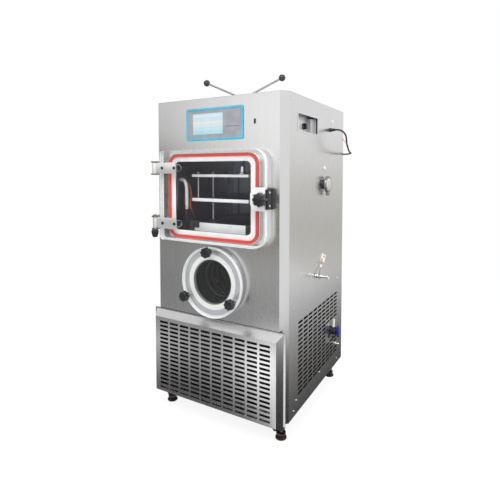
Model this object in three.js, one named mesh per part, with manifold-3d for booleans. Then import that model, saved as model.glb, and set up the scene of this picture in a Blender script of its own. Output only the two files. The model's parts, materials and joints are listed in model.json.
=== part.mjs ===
// In-situ laboratory freeze dryer: stainless cabinet, clear chamber door, clear cold-trap
// cover, stoppering press on top, refrigeration unit behind a slotted cover at the bottom.
// Millimetres, +Z up. While it is drawn, X = 0 is the cabinet's middle plane, Y = 0 the
// front panel's face (+Y runs to the back) and Z = 0 the floor.

import * as THREE from 'three';
import { mergeVertices } from 'three/addons/utils/BufferGeometryUtils.js';
import Module from 'manifold-3d';

const wasm = await Module();
wasm.setup();

// ---------------------------------------------------------------- driving dimensions

const gap = 0.3;                    // between pieces that rest on each other
const running = 0.4;                // radial clearance of a turning fit

// Cabinet sheet metal
const cabinetWidth = 600;
const cabinetDepth = 640;
const cabinetTop = 1260;
const cabinetBottom = 80;
const sheet = 1.5;
const cornerChamfer = 26;           // folded flat along both front corners
const rearFlange = 40;              // how far the rear cover wraps round each side
const trayHeight = 30;              // rim of the floor tray

// Slotted lower front cover
const coverTop = 415;
const coverFaceTop = 388;
const coverProud = 28;              // how far its face stands out from the cabinet
const coverInset = 24;              // from the cabinet's side to the edge of the face
const coverLip = 8;                 // flat lip down each side
const coverLipTop = 5;              // flat lip along the top

// Air slots, the same punch in the cover and in both side panels
const slotLength = 43;
const slotHeight = 9;
const slotPitchAlong = 51.4;
const slotPitchUp = 16.85;
const slotRows = 17;
const leftSlotRows = 4;             // the left panel has only the top rows
const slotMargin = 20;              // least metal between the last slot and the sheet's edge
const frontSlotBottom = 98.5;       // middle of the lowest row in the cover
const sideSlotBottom = 147.5;       // middle of the lowest row in a side panel
const sideSlotStart = 110;          // front end of the first column

// Airway behind the slotted cover
const airwayMargin = 14;            // metal left beside each corner chamfer
const airwayRim = 4;                // metal left above the tray's rim and under the cover's top

// Drying chamber, its middle height shared by the door and its fittings
const chamberMiddle = 886;
const openingHalfWidth = 170;
const openingHalfHeight = 133.5;
const openingRadius = 18;
const chamberReveal = 11;           // chamber wall set back from the mouth
const chamberWall = 4;
const chamberLength = 430;
const flangeHalfWidth = 207;
const flangeHalfHeight = 167;
const flangeRadius = 45;
const flangeProud = 14;
const gasketHalfWidth = 203;
const gasketHalfHeight = 163.5;
const gasketRadius = 42;
const gasketBand = 11.5;
const gasketThickness = 5.4;

// Clear door
const doorHalfWidth = 237;
const doorHalfHeight = 176;
const doorThickness = 20;
const doorRadius = 50;              // corners on the latch side
const doorHingeRadius = 12;         // corners on the hinge side
const hingeX = -259;
const hingeY = -45;
const hingeSpread = 109;            // each hinge above or below the middle
const strapHeight = 43;
const strapThickness = 6;
const strapEnd = -150;
const knuckleRadius = 9;
const hingePinRadius = 4;
const lugThickness = 5.7;
const lugHalfWidth = 13;
const footThickness = 6;
const hingeFootEnd = -240;          // edge of the bracket's foot next to the door
const hingeKnobRadius = 15;
const hingeKnobHeight = 32;

// Door latch: star knob with a stud, its plate and the catch block
const latchX = 230;
const latchPlateThickness = 5;
const latchPlateLeft = 182;
const latchPlateCorner = 200;
const latchPlateRight = 240;
const latchPlateHalf = 41;
const latchPlateLeftHalf = 20;
const latchStudRadius = 6;
const latchStudReach = 10;          // how far the stud enters the catch
const latchKnobRadius = 25;
const latchKnobHeight = 26;
const latchCollarHeight = 5.5;
const latchCollarRadius = 12;
const catchHalfHeight = 37;
const catchEar = 8;
const catchClear = 2;               // sideways play round the stud and the plate
const catchFootThickness = 16;

// Cold trap and its clear cover
const trapMiddle = 562;
const trapMouthRadius = 85;
const trapWall = 5;
const trapLength = 296;
const trapFlangeRadius = 130;
const trapFlangeProud = 12;
const trapSealInner = 87;
const trapSealOuter = 106;
const trapSealThickness = 2.7;
const trapCoverRadius = 134.5;
const trapCoverThickness = 16;
const trapStudCircle = 119;
const trapStudRadius = 5;
const trapStudLength = 47;
const trapKnobRadius = 20;
const trapKnobHeight = 22;
const trapCollarHeight = 15;
const trapCollarRadius = 10;
const trapKnobCount = 3;
const coilTubeRadius = 5;
const coilTurns = 5;
const coilPitch = 40;
const coilStart = 40;
const coilClear = 1.2;              // between the coil and the pot's wall

// Shelves and the stoppering press
const pressY = 216;                 // middle of the shelves and of the press
const shelfHalfWidth = 131;
const shelfDepth = 356;
const bottomShelfHeight = 37;
const middleShelfTop = 876;
const middleShelfThickness = 13.5;
const pressPlateTop = 970.5;
const pressPlateThickness = 11;
const guideRodX = 115;
const guideRodRadius = 4;
const guideRodRows = 4;
const guideRodInset = 22;           // first and last rod from the ends of the shelf
const guideRodProud = 9;            // rods stand this far above the press plate
const collarRadius = 8;
const collarHeight = 8;
const hoseRadius = 5;
const hoseClear = 20;               // hose beside the shelf
const hoseForward = 7;              // hose in front of the shelf's front edge
const pipeInset = 10;               // coolant pipe behind the shelf's front edge
const hoseJoint = 829;              // top of the pipe that the hose sits on
const hoseWallZ = 948;              // where the hose goes through the chamber's wall
const ramRadius = 10;
const pressSleeveRadius = 16;
const pressTubeRadius = 26;
const pressFlangeRadius = 40;
const pressFlangeThickness = 8;
const hubRadius = 22;
const hubHeight = 34;
const hubBoreDepth = 27;            // bore above the underside of the hub's head
const sleeveLength = 60;
const armHub = 18;                  // arms' meeting point above the press flange
const armReach = 183.3;
const armRise = 24.3;               // degrees above level
const armTurn = 11.4;               // degrees from the cabinet's width
const armRadius = 4;
const ballRadius = 14;

// Refrigeration unit
const coreHalfWidth = 190;
const coreHeight = 280;
const coreDepth = 44;
const coreY = 50;
const fanRadius = 100;
const fanHubRadius = 24;
const fanBlades = 5;
const fanBladeThickness = 3;
const fanBladeWidth = 26;
const fanDepth = 18;
const fanShaftRadius = 4;
const fanShaftReach = 12;
const shroudThickness = 3;
const motorRadius = 32;
const motorLength = 60;
const compressorRadius = 72;
const compressorHeight = 190;
const compressorX = 120;
const compressorY = 430;
const compressorBase = 14;          // foot plate under the shell
const compressorFoot = 2;           // how far the shell is let into it

// Control panel and service port
const panelHalfWidth = 129;
const panelBottom = 1100;
const panelTop = 1223;
const panelFrame = 9;
const panelProud = 4;
const panelStep = 1.6;              // inner face behind the frame
const panelRadius = 7;
const panelBody = 30;               // depth of the housing behind the sheet
const screenLeft = -96.5;
const screenRight = 40.5;
const screenBottom = 1122.5;
const screenTop = 1201.5;
const screenThickness = 2.4;
const servicePortX = 176;
const servicePortZ = 1161;
const servicePortWidth = 9;
const servicePortHeight = 18;
const servicePortProud = 1.2;
const servicePortDepth = 14;
const servicePortWall = 2.2;
const servicePortFloor = 4;

// Right-hand side: switch recess, ports, valves, lead
const recessFront = 97;
const recessBack = 292;
const recessBottom = 1130;
const recessTop = 1193;
const recessDepth = 30;
const recessLip = 4;
const recessLipThickness = 1.2;
const terminalBlockDepth = 16;      // cover over the terminals beside the switch
const terminalBlockInset = 4;
const terminalBlockWidth = 34;
const switchY = 221;
const switchBelowMiddle = 4.5;      // under the middle of the recess
const switchRadius = 12.5;
const switchHeight = 14;
const portY = 380;
const portZ = 927;
const portStubRadius = 20;
const portFlangeRadius = 27.5;
const portStubLength = 8;
const portFlangeLength = 15;
const clampOuterRadius = 35;
const clampInset = 2;               // ring narrower than the flanges it holds, on each side
const clampLugHalf = 9;
const clampLugDrop = 11;
const inletY = 303;
const inletZ = 553;
const inletRadius = 6.5;
const inletLength = 50;
const drainInset = 153;             // from the cabinet's back
const drainZ = 264;
const drainBodyRadius = 19;
const drainBodyLength = 24;
const drainStemRadius = 6;
const drainStemLength = 9;
const drainHandleHalf = 27;
const drainHandleWidth = 26;
const drainHandleThickness = 8;
const drainBossRadius = 10;
const drainOutletRadius = 6;
const drainOutletRise = 51;         // top of the upright outlet above the valve's middle
const nozzleInset = 95;             // from the cabinet's back
const nozzleZ = 182;
const nozzleRadius = 4.5;
const nozzleLength = 20;
const leadRadius = 3.8;
const leadEndStraight = 5;          // straight lead in front of each gland
const leadBend = 36;                // bend radius at each gland, over four lead diameters
const leadDroop = 58;               // degrees below level that the first bend turns towards
const sideGlandInset = 190;         // from the cabinet's back
const sideGlandZ = 1161;
const rearGlandX = 240;
const rearGlandZ = 1062;
const glandRadius = 9;
const glandLength = 24;
const glandSpigot = 8;              // spigot through the sheet
const glandNut = 6;

// Levelling casters
const casterX = 258;
const casterInsetY = 52;            // from the cabinet's front and back
const casterTurn = -38;             // degrees the swivels stand turned from the cabinet's width
const casterCapRadius = 26;
const casterCapThickness = 5;
const casterBossRadius = 15;
const footRadius = 21;
const footHeight = 9;
const footStemRadius = 6;
const thumbWheelRadius = 18;
const thumbWheelBottom = 14;
const thumbWheelHeight = 11;
const bossBottom = 34;
const wheelRadius = 24;
const wheelWidth = 24;
const wheelTrail = 43;              // wheel axle from the swivel axis
const wheelLift = 3;                // off the floor while the foot is down
const cheekThickness = 4;
const axleRadius = 4;

// ---------------------------------------------------------------- derived places

const halfWidth = cabinetWidth / 2;
const panelsTop = cabinetTop - sheet - gap;
const rearSeam = cabinetDepth - rearFlange;
const chamberHalfWidth = openingHalfWidth + chamberReveal;
const chamberHalfHeight = openingHalfHeight + chamberReveal;
const chamberFloor = chamberMiddle - chamberHalfHeight;
const chamberRoof = chamberMiddle + chamberHalfHeight;
const shellTop = chamberRoof + chamberWall;
const doorBack = -(flangeProud + gap + gasketThickness + gap);
const doorFront = doorBack - doorThickness;
const strapBack = doorFront - gap;
const strapFront = strapBack - strapThickness;
const latchPlateFront = doorFront - gap - latchPlateThickness;
const trapCoverBack = -(trapFlangeProud + gap + trapSealThickness + gap);
const trapCoverFront = trapCoverBack - trapCoverThickness;
const coilRadius = trapMouthRadius - coilTubeRadius - coilClear;
const shelfFront = pressY - shelfDepth / 2;
const shelfBack = pressY + shelfDepth / 2;
const guideRodPitch = (shelfDepth - 2 * guideRodInset) / (guideRodRows - 1);
const hoseX = -shelfHalfWidth - hoseClear;
const hoseY = shelfFront - hoseForward;
const bottomShelfBottom = chamberFloor + gap;
const bottomShelfTop = bottomShelfBottom + bottomShelfHeight;
const pressFlangeBottom = cabinetTop + gap;
const pressFlangeTop = pressFlangeBottom + pressFlangeThickness;
const hubBottom = pressFlangeTop + gap;
const hubCentre = pressFlangeTop + armHub;
const trayFloor = cabinetBottom + sheet;
const fanY = coreY + coreDepth + gap + shroudThickness + fanDepth;
const fanZ = trayFloor + gap + coreHeight / 2;
const switchZ = (recessBottom + recessTop) / 2 - switchBelowMiddle;
const drainY = cabinetDepth - drainInset;
const nozzleY = cabinetDepth - nozzleInset;
const sideGlandY = cabinetDepth - sideGlandInset;
const glandSpigotRadius = glandRadius * 0.7;
const panelHousingHalf = panelHalfWidth - panelFrame;
const panelHousingBottom = panelBottom + panelFrame;
const panelHousingTop = panelTop - panelFrame;
const airwayHalf = halfWidth - cornerChamfer - airwayMargin;
const airwayBottom = cabinetBottom + trayHeight + airwayRim;
const airwayTop = coverFaceTop - airwayRim;
const slotsWithin = (length) => Math.floor((length - 2 * slotMargin - slotLength) / slotPitchAlong) + 1;
const frontSlotColumns = slotsWithin(2 * (halfWidth - coverInset));
const sideSlotColumns = slotsWithin(rearSeam - sideSlotStart + slotMargin);

// ---------------------------------------------------------------- materials

const brushedSteel = new THREE.MeshStandardMaterial({ color: 0xb9b7b3, roughness: 0.34, metalness: 0.9 });
const chamberSteel = new THREE.MeshStandardMaterial({ color: 0x8f8f93, roughness: 0.3, metalness: 0.9 });
const aluminium = new THREE.MeshStandardMaterial({ color: 0xd6d6d4, roughness: 0.4, metalness: 0.8 });
const chrome = new THREE.MeshStandardMaterial({ color: 0xdfe0e2, roughness: 0.12, metalness: 1 });
const acrylic = new THREE.MeshStandardMaterial({
  color: 0xf2f6f6, roughness: 0.05, metalness: 0, transparent: true, opacity: 0.35,
});
const redSilicone = new THREE.MeshStandardMaterial({ color: 0xcf2a1a, roughness: 0.5, metalness: 0 });
const whiteSilicone = new THREE.MeshStandardMaterial({ color: 0xf0efec, roughness: 0.5, metalness: 0 });
const blackPhenolic = new THREE.MeshStandardMaterial({ color: 0x17171a, roughness: 0.3, metalness: 0 });
const blackRubber = new THREE.MeshStandardMaterial({ color: 0x1c1c1d, roughness: 0.75, metalness: 0 });
const bluePlastic = new THREE.MeshStandardMaterial({ color: 0x10109a, roughness: 0.4, metalness: 0 });
const tealPlastic = new THREE.MeshStandardMaterial({ color: 0x3fa7b5, roughness: 0.45, metalness: 0 });
const screenGlass = new THREE.MeshStandardMaterial({ color: 0x9fd4f0, roughness: 0.15, metalness: 0 });
const blackEnamel = new THREE.MeshStandardMaterial({ color: 0x202123, roughness: 0.4, metalness: 0.2 });
const copper = new THREE.MeshStandardMaterial({ color: 0xb87a55, roughness: 0.35, metalness: 0.9 });
const braidedHose = new THREE.MeshStandardMaterial({ color: 0xd9d9d7, roughness: 0.5, metalness: 0.4 });

// ---------------------------------------------------------------- shape helpers

/** Keep a geometry's positions only and merge its shared corners. */
function bare(geometry) {
  const copy = geometry.clone();
  copy.deleteAttribute('normal');
  copy.deleteAttribute('uv');
  return mergeVertices(copy, 1e-4);
}

/** Signed volume of a closed, indexed geometry. */
function signedVolume(geometry) {
  const position = geometry.attributes.position;
  const index = geometry.index.array;
  const a = new THREE.Vector3();
  const b = new THREE.Vector3();
  const c = new THREE.Vector3();
  let total = 0;
  for (let i = 0; i < index.length; i += 3) {
    a.fromBufferAttribute(position, index[i]);
    b.fromBufferAttribute(position, index[i + 1]);
    c.fromBufferAttribute(position, index[i + 2]);
    total += a.dot(b.cross(c)) / 6;
  }
  return total;
}

/** A three.js geometry as a solid that can be joined and cut. */
function solid(geometry) {
  const shell = bare(geometry);
  const index = Uint32Array.from(shell.index.array);
  if (signedVolume(shell) < 0) {
    for (let i = 0; i < index.length; i += 3) [index[i], index[i + 1]] = [index[i + 1], index[i]];
  }
  const vertProperties = Float32Array.from(shell.attributes.position.array);
  return new wasm.Manifold(new wasm.Mesh({ numProp: 3, vertProperties, triVerts: index }));
}

/** A named mesh made of one solid. */
function piece(name, body, material) {
  const { vertProperties, triVerts } = body.getMesh();
  const geometry = new THREE.BufferGeometry();
  geometry.setAttribute('position', new THREE.BufferAttribute(Float32Array.from(vertProperties), 3));
  geometry.setIndex(new THREE.BufferAttribute(Uint32Array.from(triVerts), 1));
  geometry.computeVertexNormals();
  const mesh = new THREE.Mesh(geometry, material);
  mesh.name = name;
  return mesh;
}

/** Join a list of solids. */
const join = (...solids) => solids.reduce((whole, next) => whole.add(next));

/** Cut every later solid from the first. */
const cut = (body, ...tools) => tools.reduce((whole, next) => whole.subtract(next), body);

/** Box between two corners. */
function block(x0, y0, z0, x1, y1, z1) {
  const box = new THREE.BoxGeometry(x1 - x0, y1 - y0, z1 - z0);
  return solid(box.translate((x0 + x1) / 2, (y0 + y1) / 2, (z0 + z1) / 2));
}

/** Closed outline through [u, v] points. */
function outline(points) {
  return new THREE.Shape(points.map(([u, v]) => new THREE.Vector2(u, v)));
}

/** Plain rectangle between two corners. */
const rectangle = (u0, v0, u1, v1) => outline([[u0, v0], [u1, v0], [u1, v1], [u0, v1]]);

/** Rectangle with four corner radii, from the lower left round to the upper left. */
function roundedRectangle(u0, v0, u1, v1, radii) {
  const [a, b, c, d] = Array.isArray(radii) ? radii : [radii, radii, radii, radii];
  const shape = new THREE.Shape();
  shape.moveTo(u0 + a, v0);
  shape.lineTo(u1 - b, v0);
  shape.absarc(u1 - b, v0 + b, b, -Math.PI / 2, 0, false);
  shape.lineTo(u1, v1 - c);
  shape.absarc(u1 - c, v1 - c, c, 0, Math.PI / 2, false);
  shape.lineTo(u0 + d, v1);
  shape.absarc(u0 + d, v1 - d, d, Math.PI / 2, Math.PI, false);
  shape.lineTo(u0, v0 + a);
  shape.absarc(u0 + a, v0 + a, a, Math.PI, Math.PI * 1.5, false);
  return shape;
}

/** Full circle as a shape. */
function circle(u, v, radius) {
  const shape = new THREE.Shape();
  shape.absarc(u, v, radius, 0, Math.PI * 2, false);
  return shape;
}

/** Round hole's outline, its flats no nearer the middle than the radius. */
function roundHole(u, v, radius, sides = 12) {
  const reach = radius / Math.cos(Math.PI / sides);
  const points = [];
  for (let i = 0; i < sides; i += 1) {
    const turn = ((i + 0.5) / sides) * Math.PI * 2;
    points.push([u + reach * Math.cos(turn), v + reach * Math.sin(turn)]);
  }
  return outline(points);
}

/** Extruded solid standing on Z = bottom. */
function upright(shape, bottom, height, segments = 4) {
  const geometry = new THREE.ExtrudeGeometry(shape, {
    depth: height, bevelEnabled: false, curveSegments: segments,
  });
  return solid(geometry.translate(0, 0, bottom));
}

/** Extruded solid drawn in X and Z, from Y = back forward (towards -Y) by its thickness. */
function facing(shape, back, thickness, segments = 4) {
  const geometry = new THREE.ExtrudeGeometry(shape, {
    depth: thickness, bevelEnabled: false, curveSegments: segments,
  });
  return solid(geometry.rotateX(Math.PI / 2).translate(0, back, 0));
}

/** Extruded solid drawn in Y and Z, from X = inner outward (towards +X) by its thickness. */
function sideways(shape, inner, thickness, segments = 4) {
  const geometry = new THREE.ExtrudeGeometry(shape, {
    depth: thickness, bevelEnabled: false, curveSegments: segments,
  });
  const turn = new THREE.Matrix4().makeBasis(
    new THREE.Vector3(0, 1, 0), new THREE.Vector3(0, 0, 1), new THREE.Vector3(1, 0, 0));
  return solid(geometry.applyMatrix4(turn).translate(inner, 0, 0));
}

/** Turned solid from [radius, along] points; its axis starts at an origin and runs along a direction. */
function turned(profile, origin, direction, segments) {
  const points = profile.map(([radius, along]) => new THREE.Vector2(radius, along));
  const geometry = new THREE.LatheGeometry(points, segments);
  const turn = new THREE.Quaternion().setFromUnitVectors(new THREE.Vector3(0, 1, 0), direction);
  return solid(geometry.applyQuaternion(turn).translate(...origin));
}

/** Round bar of one radius. */
function bar(radius, origin, direction, length, segments = 12) {
  return turned([[0, 0], [radius, 0], [radius, length], [0, length]], origin, direction, segments);
}

/** Tool that drills a round hole, its flats no nearer the middle than the radius. */
function drill(radius, origin, direction, length, segments = 16) {
  return bar(radius / Math.cos(Math.PI / segments), origin, direction, length, segments);
}

const alongX = new THREE.Vector3(1, 0, 0);
const alongY = new THREE.Vector3(0, 1, 0);
const alongZ = new THREE.Vector3(0, 0, 1);
const outFront = new THREE.Vector3(0, -1, 0);
const down = new THREE.Vector3(0, 0, -1);

/** The cabinet's plan: square at the back, chamfered at both front corners. */
function cabinetPlan(inset) {
  const shorten = inset * (Math.SQRT2 - 1);
  const x = halfWidth - inset;
  const back = cabinetDepth - inset;
  const flat = cornerChamfer + shorten;
  return outline([
    [-x, back], [-x, flat], [-halfWidth + flat, inset], [halfWidth - flat, inset], [x, flat], [x, back],
  ]);
}

/** A field of air slots as a list of outlines; skip leaves some of them out. */
function slotField(start, bottom, columns, skip = () => false, firstRow = 0) {
  const slots = [];
  for (let column = 0; column < columns; column += 1) {
    for (let row = firstRow; row < slotRows; row += 1) {
      const u = start + column * slotPitchAlong;
      const v = bottom + row * slotPitchUp;
      if (skip(u + slotLength / 2, v)) continue;
      slots.push(outline([
        [u, v - slotHeight / 2], [u + slotLength, v - slotHeight / 2],
        [u + slotLength, v + slotHeight / 2], [u, v + slotHeight / 2],
      ]));
    }
  }
  return slots;
}

/** Star knob's outline: round lobes on a circle. */
function starOutline(u, v, radius, lobes) {
  const steps = lobes * 4;
  const points = [];
  for (let i = 0; i < steps; i += 1) {
    const turn = (i / steps) * Math.PI * 2;
    const reach = radius * (0.9 + 0.1 * Math.cos(lobes * turn));
    points.push([u + reach * Math.cos(turn), v + reach * Math.sin(turn)]);
  }
  return outline(points);
}

const root = new THREE.Group();
const add = (name, body, material) => root.add(piece(name, body, material));

// ---------------------------------------------------------------- cabinet

function frontPanel() {
  const flat = cornerChamfer + sheet * (Math.SQRT2 - 1);
  const section = outline([
    [-halfWidth, cornerChamfer], [-halfWidth + cornerChamfer, 0], [halfWidth - cornerChamfer, 0],
    [halfWidth, cornerChamfer], [halfWidth - sheet * Math.SQRT2, cornerChamfer],
    [halfWidth - flat, sheet], [-halfWidth + flat, sheet],
    [-halfWidth + sheet * Math.SQRT2, cornerChamfer],
  ]);
  const shell = upright(section, cabinetBottom, panelsTop - cabinetBottom);
  const neckX = chamberHalfWidth + chamberWall + gap;
  const neckZ = chamberHalfHeight + chamberWall + gap;
  const portX = servicePortWidth / 2 + gap;
  const portZ = servicePortHeight / 2 + gap;
  const openings = [
    rectangle(-neckX, chamberMiddle - neckZ, neckX, chamberMiddle + neckZ),
    roundHole(0, trapMiddle, trapMouthRadius + trapWall + gap, 32),
    rectangle(-panelHousingHalf - gap, panelHousingBottom - gap,
      panelHousingHalf + gap, panelHousingTop + gap),
    rectangle(servicePortX - portX, servicePortZ - portZ, servicePortX + portX, servicePortZ + portZ),
    rectangle(-airwayHalf, airwayBottom, airwayHalf, airwayTop),
  ];
  return cut(shell, facing(openings, sheet * 2, sheet * 4));
}

/** Slots left out of the right side panel, where the valves are fixed. */
function nearDrain(y, z) {
  const within = (a, b, reach) => Math.abs(a - b) < reach;
  const besideValve = within(y, drainY, slotPitchAlong * 1.3) && within(z, drainZ, drainBodyRadius * 2);
  const besideNozzle = within(y, nozzleY, slotPitchAlong / 2) && within(z, nozzleZ, slotPitchUp * 0.7);
  return besideValve || besideNozzle;
}

function sidePanel(holes, skip, firstRow) {
  const plate = block(
    halfWidth - sheet, cornerChamfer + gap, cabinetBottom, halfWidth, rearSeam - gap, panelsTop);
  const slots = slotField(sideSlotStart, sideSlotBottom, sideSlotColumns, skip, firstRow);
  return cut(plate, sideways([...slots, ...holes], halfWidth - sheet * 2, sheet * 3));
}

function rearCover() {
  const section = outline([
    [-halfWidth, rearSeam], [-halfWidth + sheet, rearSeam], [-halfWidth + sheet, cabinetDepth - sheet],
    [halfWidth - sheet, cabinetDepth - sheet], [halfWidth - sheet, rearSeam], [halfWidth, rearSeam],
    [halfWidth, cabinetDepth], [-halfWidth, cabinetDepth],
  ]);
  const shell = upright(section, cabinetBottom, panelsTop - cabinetBottom);
  const glandHole = [rearGlandX, cabinetDepth - 2 * sheet, rearGlandZ];
  return cut(shell, drill(glandSpigotRadius + gap, glandHole, alongY, 3 * sheet));
}

function floorTray() {
  const inset = sheet + gap;
  return cut(
    upright(cabinetPlan(inset), cabinetBottom, trayHeight),
    upright(cabinetPlan(inset + sheet), trayFloor, trayHeight),
  );
}

function lowerCover() {
  const back = -gap;
  const lipFront = back - sheet;
  const face = { x: halfWidth - coverInset, top: coverFaceTop, y: back - coverProud };
  const foot = { x: halfWidth - coverLip, top: coverTop - coverLipTop, y: lipFront + sheet / 2 };
  const outside = taperedBox(face, foot, cabinetBottom);
  const inside = taperedBox(
    { x: face.x - sheet, top: face.top - sheet, y: face.y + sheet },
    { x: foot.x - sheet * 2, top: foot.top - sheet * 2, y: back + sheet },
    cabinetBottom + sheet,
  );
  const lip = block(-halfWidth, lipFront, cabinetBottom, halfWidth, back, coverTop);
  const fieldWidth = (frontSlotColumns - 1) * slotPitchAlong + slotLength;
  const slots = slotField(-fieldWidth / 2, frontSlotBottom, frontSlotColumns);
  return cut(join(outside, lip), inside, facing(slots, face.y + sheet * 2, sheet * 3));
}

/** Box whose face at one Y tapers to a wider foot at another Y, over one common bottom. */
function taperedBox(face, foot, bottom) {
  const box = new THREE.BoxGeometry(2, 1, 1);
  const position = box.attributes.position;
  for (let i = 0; i < position.count; i += 1) {
    const end = position.getY(i) < 0 ? face : foot;
    const z = position.getZ(i) < 0 ? bottom : end.top;
    position.setXYZ(i, Math.sign(position.getX(i)) * end.x, end.y, z);
  }
  return solid(box);
}

const sideHoles = () => {
  const inset = -sheet - gap;
  return [
    rectangle(recessFront + inset, recessBottom + inset, recessBack - inset, recessTop - inset),
    roundHole(portY, portZ, portStubRadius + gap, 20),
    roundHole(inletY, inletZ, inletRadius + gap),
    roundHole(drainY, drainZ, drainStemRadius + gap),
    roundHole(nozzleY, nozzleZ, nozzleRadius + gap),
    roundHole(sideGlandY, sideGlandZ, glandSpigotRadius + gap),
  ];
};

const rightSide = sidePanel(sideHoles(), nearDrain);
const leftSide = sidePanel([], () => false, slotRows - leftSlotRows)
  .translate([sheet - cabinetWidth, 0, 0]);
const topPlate = cut(
  upright(cabinetPlan(0), cabinetTop - sheet, sheet),
  drill(pressTubeRadius + gap, [0, pressY, cabinetTop - 2 * sheet], alongZ, 3 * sheet, 20),
);

add('front_panel', frontPanel(), brushedSteel);
add('right_side_panel', rightSide, brushedSteel);
add('left_side_panel', leftSide, brushedSteel);
add('rear_cover', rearCover(), brushedSteel);
add('top_panel', topPlate, brushedSteel);
add('floor_tray', floorTray(), brushedSteel);
add('lower_front_cover', lowerCover(), brushedSteel);

// ---------------------------------------------------------------- drying chamber

const mouth = () => roundedRectangle(
  -openingHalfWidth, chamberMiddle - openingHalfHeight,
  openingHalfWidth, chamberMiddle + openingHalfHeight, openingRadius);

function chamberShell() {
  const x = chamberHalfWidth + chamberWall;
  const z = chamberHalfHeight + chamberWall;
  const flange = facing(roundedRectangle(
    -flangeHalfWidth, chamberMiddle - flangeHalfHeight,
    flangeHalfWidth, chamberMiddle + flangeHalfHeight, flangeRadius), -gap, flangeProud - gap, 3);
  const shell = block(
    -x, -flangeProud / 2, chamberMiddle - z, x, chamberLength + chamberWall, chamberMiddle + z);
  const hollow = block(
    -chamberHalfWidth, 0, chamberFloor, chamberHalfWidth, chamberLength, chamberRoof);
  return cut(
    join(flange, shell),
    hollow,
    facing(mouth(), 1, flangeProud * 2, 3),
    drill(ramRadius + running, [0, pressY, chamberRoof - 1], alongZ, chamberWall + 2),
  );
}

function chamberGasket() {
  const ring = roundedRectangle(
    -gasketHalfWidth, chamberMiddle - gasketHalfHeight,
    gasketHalfWidth, chamberMiddle + gasketHalfHeight, gasketRadius);
  const innerX = gasketHalfWidth - gasketBand;
  const innerZ = gasketHalfHeight - gasketBand;
  ring.holes.push(roundedRectangle(
    -innerX, chamberMiddle - innerZ, innerX, chamberMiddle + innerZ, gasketRadius - gasketBand));
  return facing(ring, -flangeProud - gap, gasketThickness, 3);
}

/** Guide rod places: a full row on the left, and on the right behind the loading gap. */
function guideRods() {
  const places = [];
  for (let row = 0; row < guideRodRows; row += 1) {
    const y = pressY + (row - (guideRodRows - 1) / 2) * guideRodPitch;
    places.push([-guideRodX, y]);
    if (row > 0) places.push([guideRodX, y]);
  }
  return places;
}

/** A flat shelf with a hole for each guide rod. */
function shelf(top, thickness, play) {
  const plate = outline([
    [-shelfHalfWidth, shelfFront], [shelfHalfWidth, shelfFront],
    [shelfHalfWidth, shelfBack], [-shelfHalfWidth, shelfBack],
  ]);
  plate.holes.push(...guideRods().map(([x, y]) => roundHole(x, y, guideRodRadius + play, 6)));
  return upright(plate, top - thickness, thickness);
}

/** Bottom shelf with its guide rods, stop collars and coolant pipe welded on. */
function bottomShelf() {
  const slab = block(
    -shelfHalfWidth, shelfFront, bottomShelfBottom, shelfHalfWidth, shelfBack, bottomShelfTop);
  const rodBottom = bottomShelfTop - 1;
  const collarTop = middleShelfTop - middleShelfThickness - gap - rodBottom;
  const rodTop = pressPlateTop + guideRodProud - rodBottom;
  const rods = guideRods().map(([x, y]) => turned([
    [0, 0], [guideRodRadius, 0], [guideRodRadius, collarTop - collarHeight],
    [collarRadius, collarTop - collarHeight], [collarRadius, collarTop],
    [guideRodRadius, collarTop], [guideRodRadius, rodTop], [0, rodTop],
  ], [x, y, rodBottom], alongZ, 6));
  return join(slab, ...rods, coolantPipe());
}

/** Extruded tube along a curve, closed at both ends. */
function tube(curve, radius, steps, sides) {
  const geometry = new THREE.ExtrudeGeometry(circle(0, 0, radius), {
    steps, extrudePath: curve, bevelEnabled: false, curveSegments: sides / 2,
  });
  return solid(geometry);
}

const curveThrough = (points) => new THREE.CatmullRomCurve3(
  points.map(([x, y, z]) => new THREE.Vector3(x, y, z)), false, 'centripetal');

function coolantPipe() {
  const level = bottomShelfBottom + bottomShelfHeight / 2;
  const pipeY = shelfFront + pipeInset;
  return tube(curveThrough([
    [-shelfHalfWidth + 2, pipeY, level], [hoseX + 8, pipeY, level + 2], [hoseX, pipeY - 4, level + 10],
    [hoseX, hoseY, level + 26], [hoseX, hoseY, hoseJoint],
  ]), hoseRadius - 0.5, 10, 8);
}

function shelfHose() {
  return tube(curveThrough([
    [hoseX, hoseY, hoseJoint + gap], [hoseX, hoseY, hoseJoint + 50], [hoseX - 3, hoseY, hoseWallZ - 22],
    [hoseX - 12, hoseY, hoseWallZ - 4], [hoseX - 21, hoseY, hoseWallZ],
    [-chamberHalfWidth + gap, hoseY, hoseWallZ],
  ]), hoseRadius, 14, 8);
}

add('chamber_shell', chamberShell(), chamberSteel);
add('chamber_gasket', chamberGasket(), redSilicone);
add('bottom_shelf', bottomShelf(), chamberSteel);
add('middle_shelf', shelf(middleShelfTop, middleShelfThickness, running), chamberSteel);
add('press_plate', shelf(pressPlateTop, pressPlateThickness, running), chamberSteel);
add('shelf_hose', shelfHose(), braidedHose);

// ---------------------------------------------------------------- chamber door

function doorPlate() {
  const top = chamberMiddle + doorHalfHeight;
  const bottom = chamberMiddle - doorHalfHeight;
  const plate = facing(roundedRectangle(-doorHalfWidth, bottom, doorHalfWidth, top,
    [doorHingeRadius, doorRadius, doorRadius, doorHingeRadius]), doorBack, doorThickness, 4);
  const notchHalf = latchStudRadius + catchClear / 2;
  const notch = join(
    drill(notchHalf, [latchX, doorBack + 1, chamberMiddle], outFront, doorThickness + 2),
    block(latchX, doorFront - 1, chamberMiddle - notchHalf, doorHalfWidth + 1, doorBack + 1,
      chamberMiddle + notchHalf),
  );
  return cut(plate, notch);
}

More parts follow.
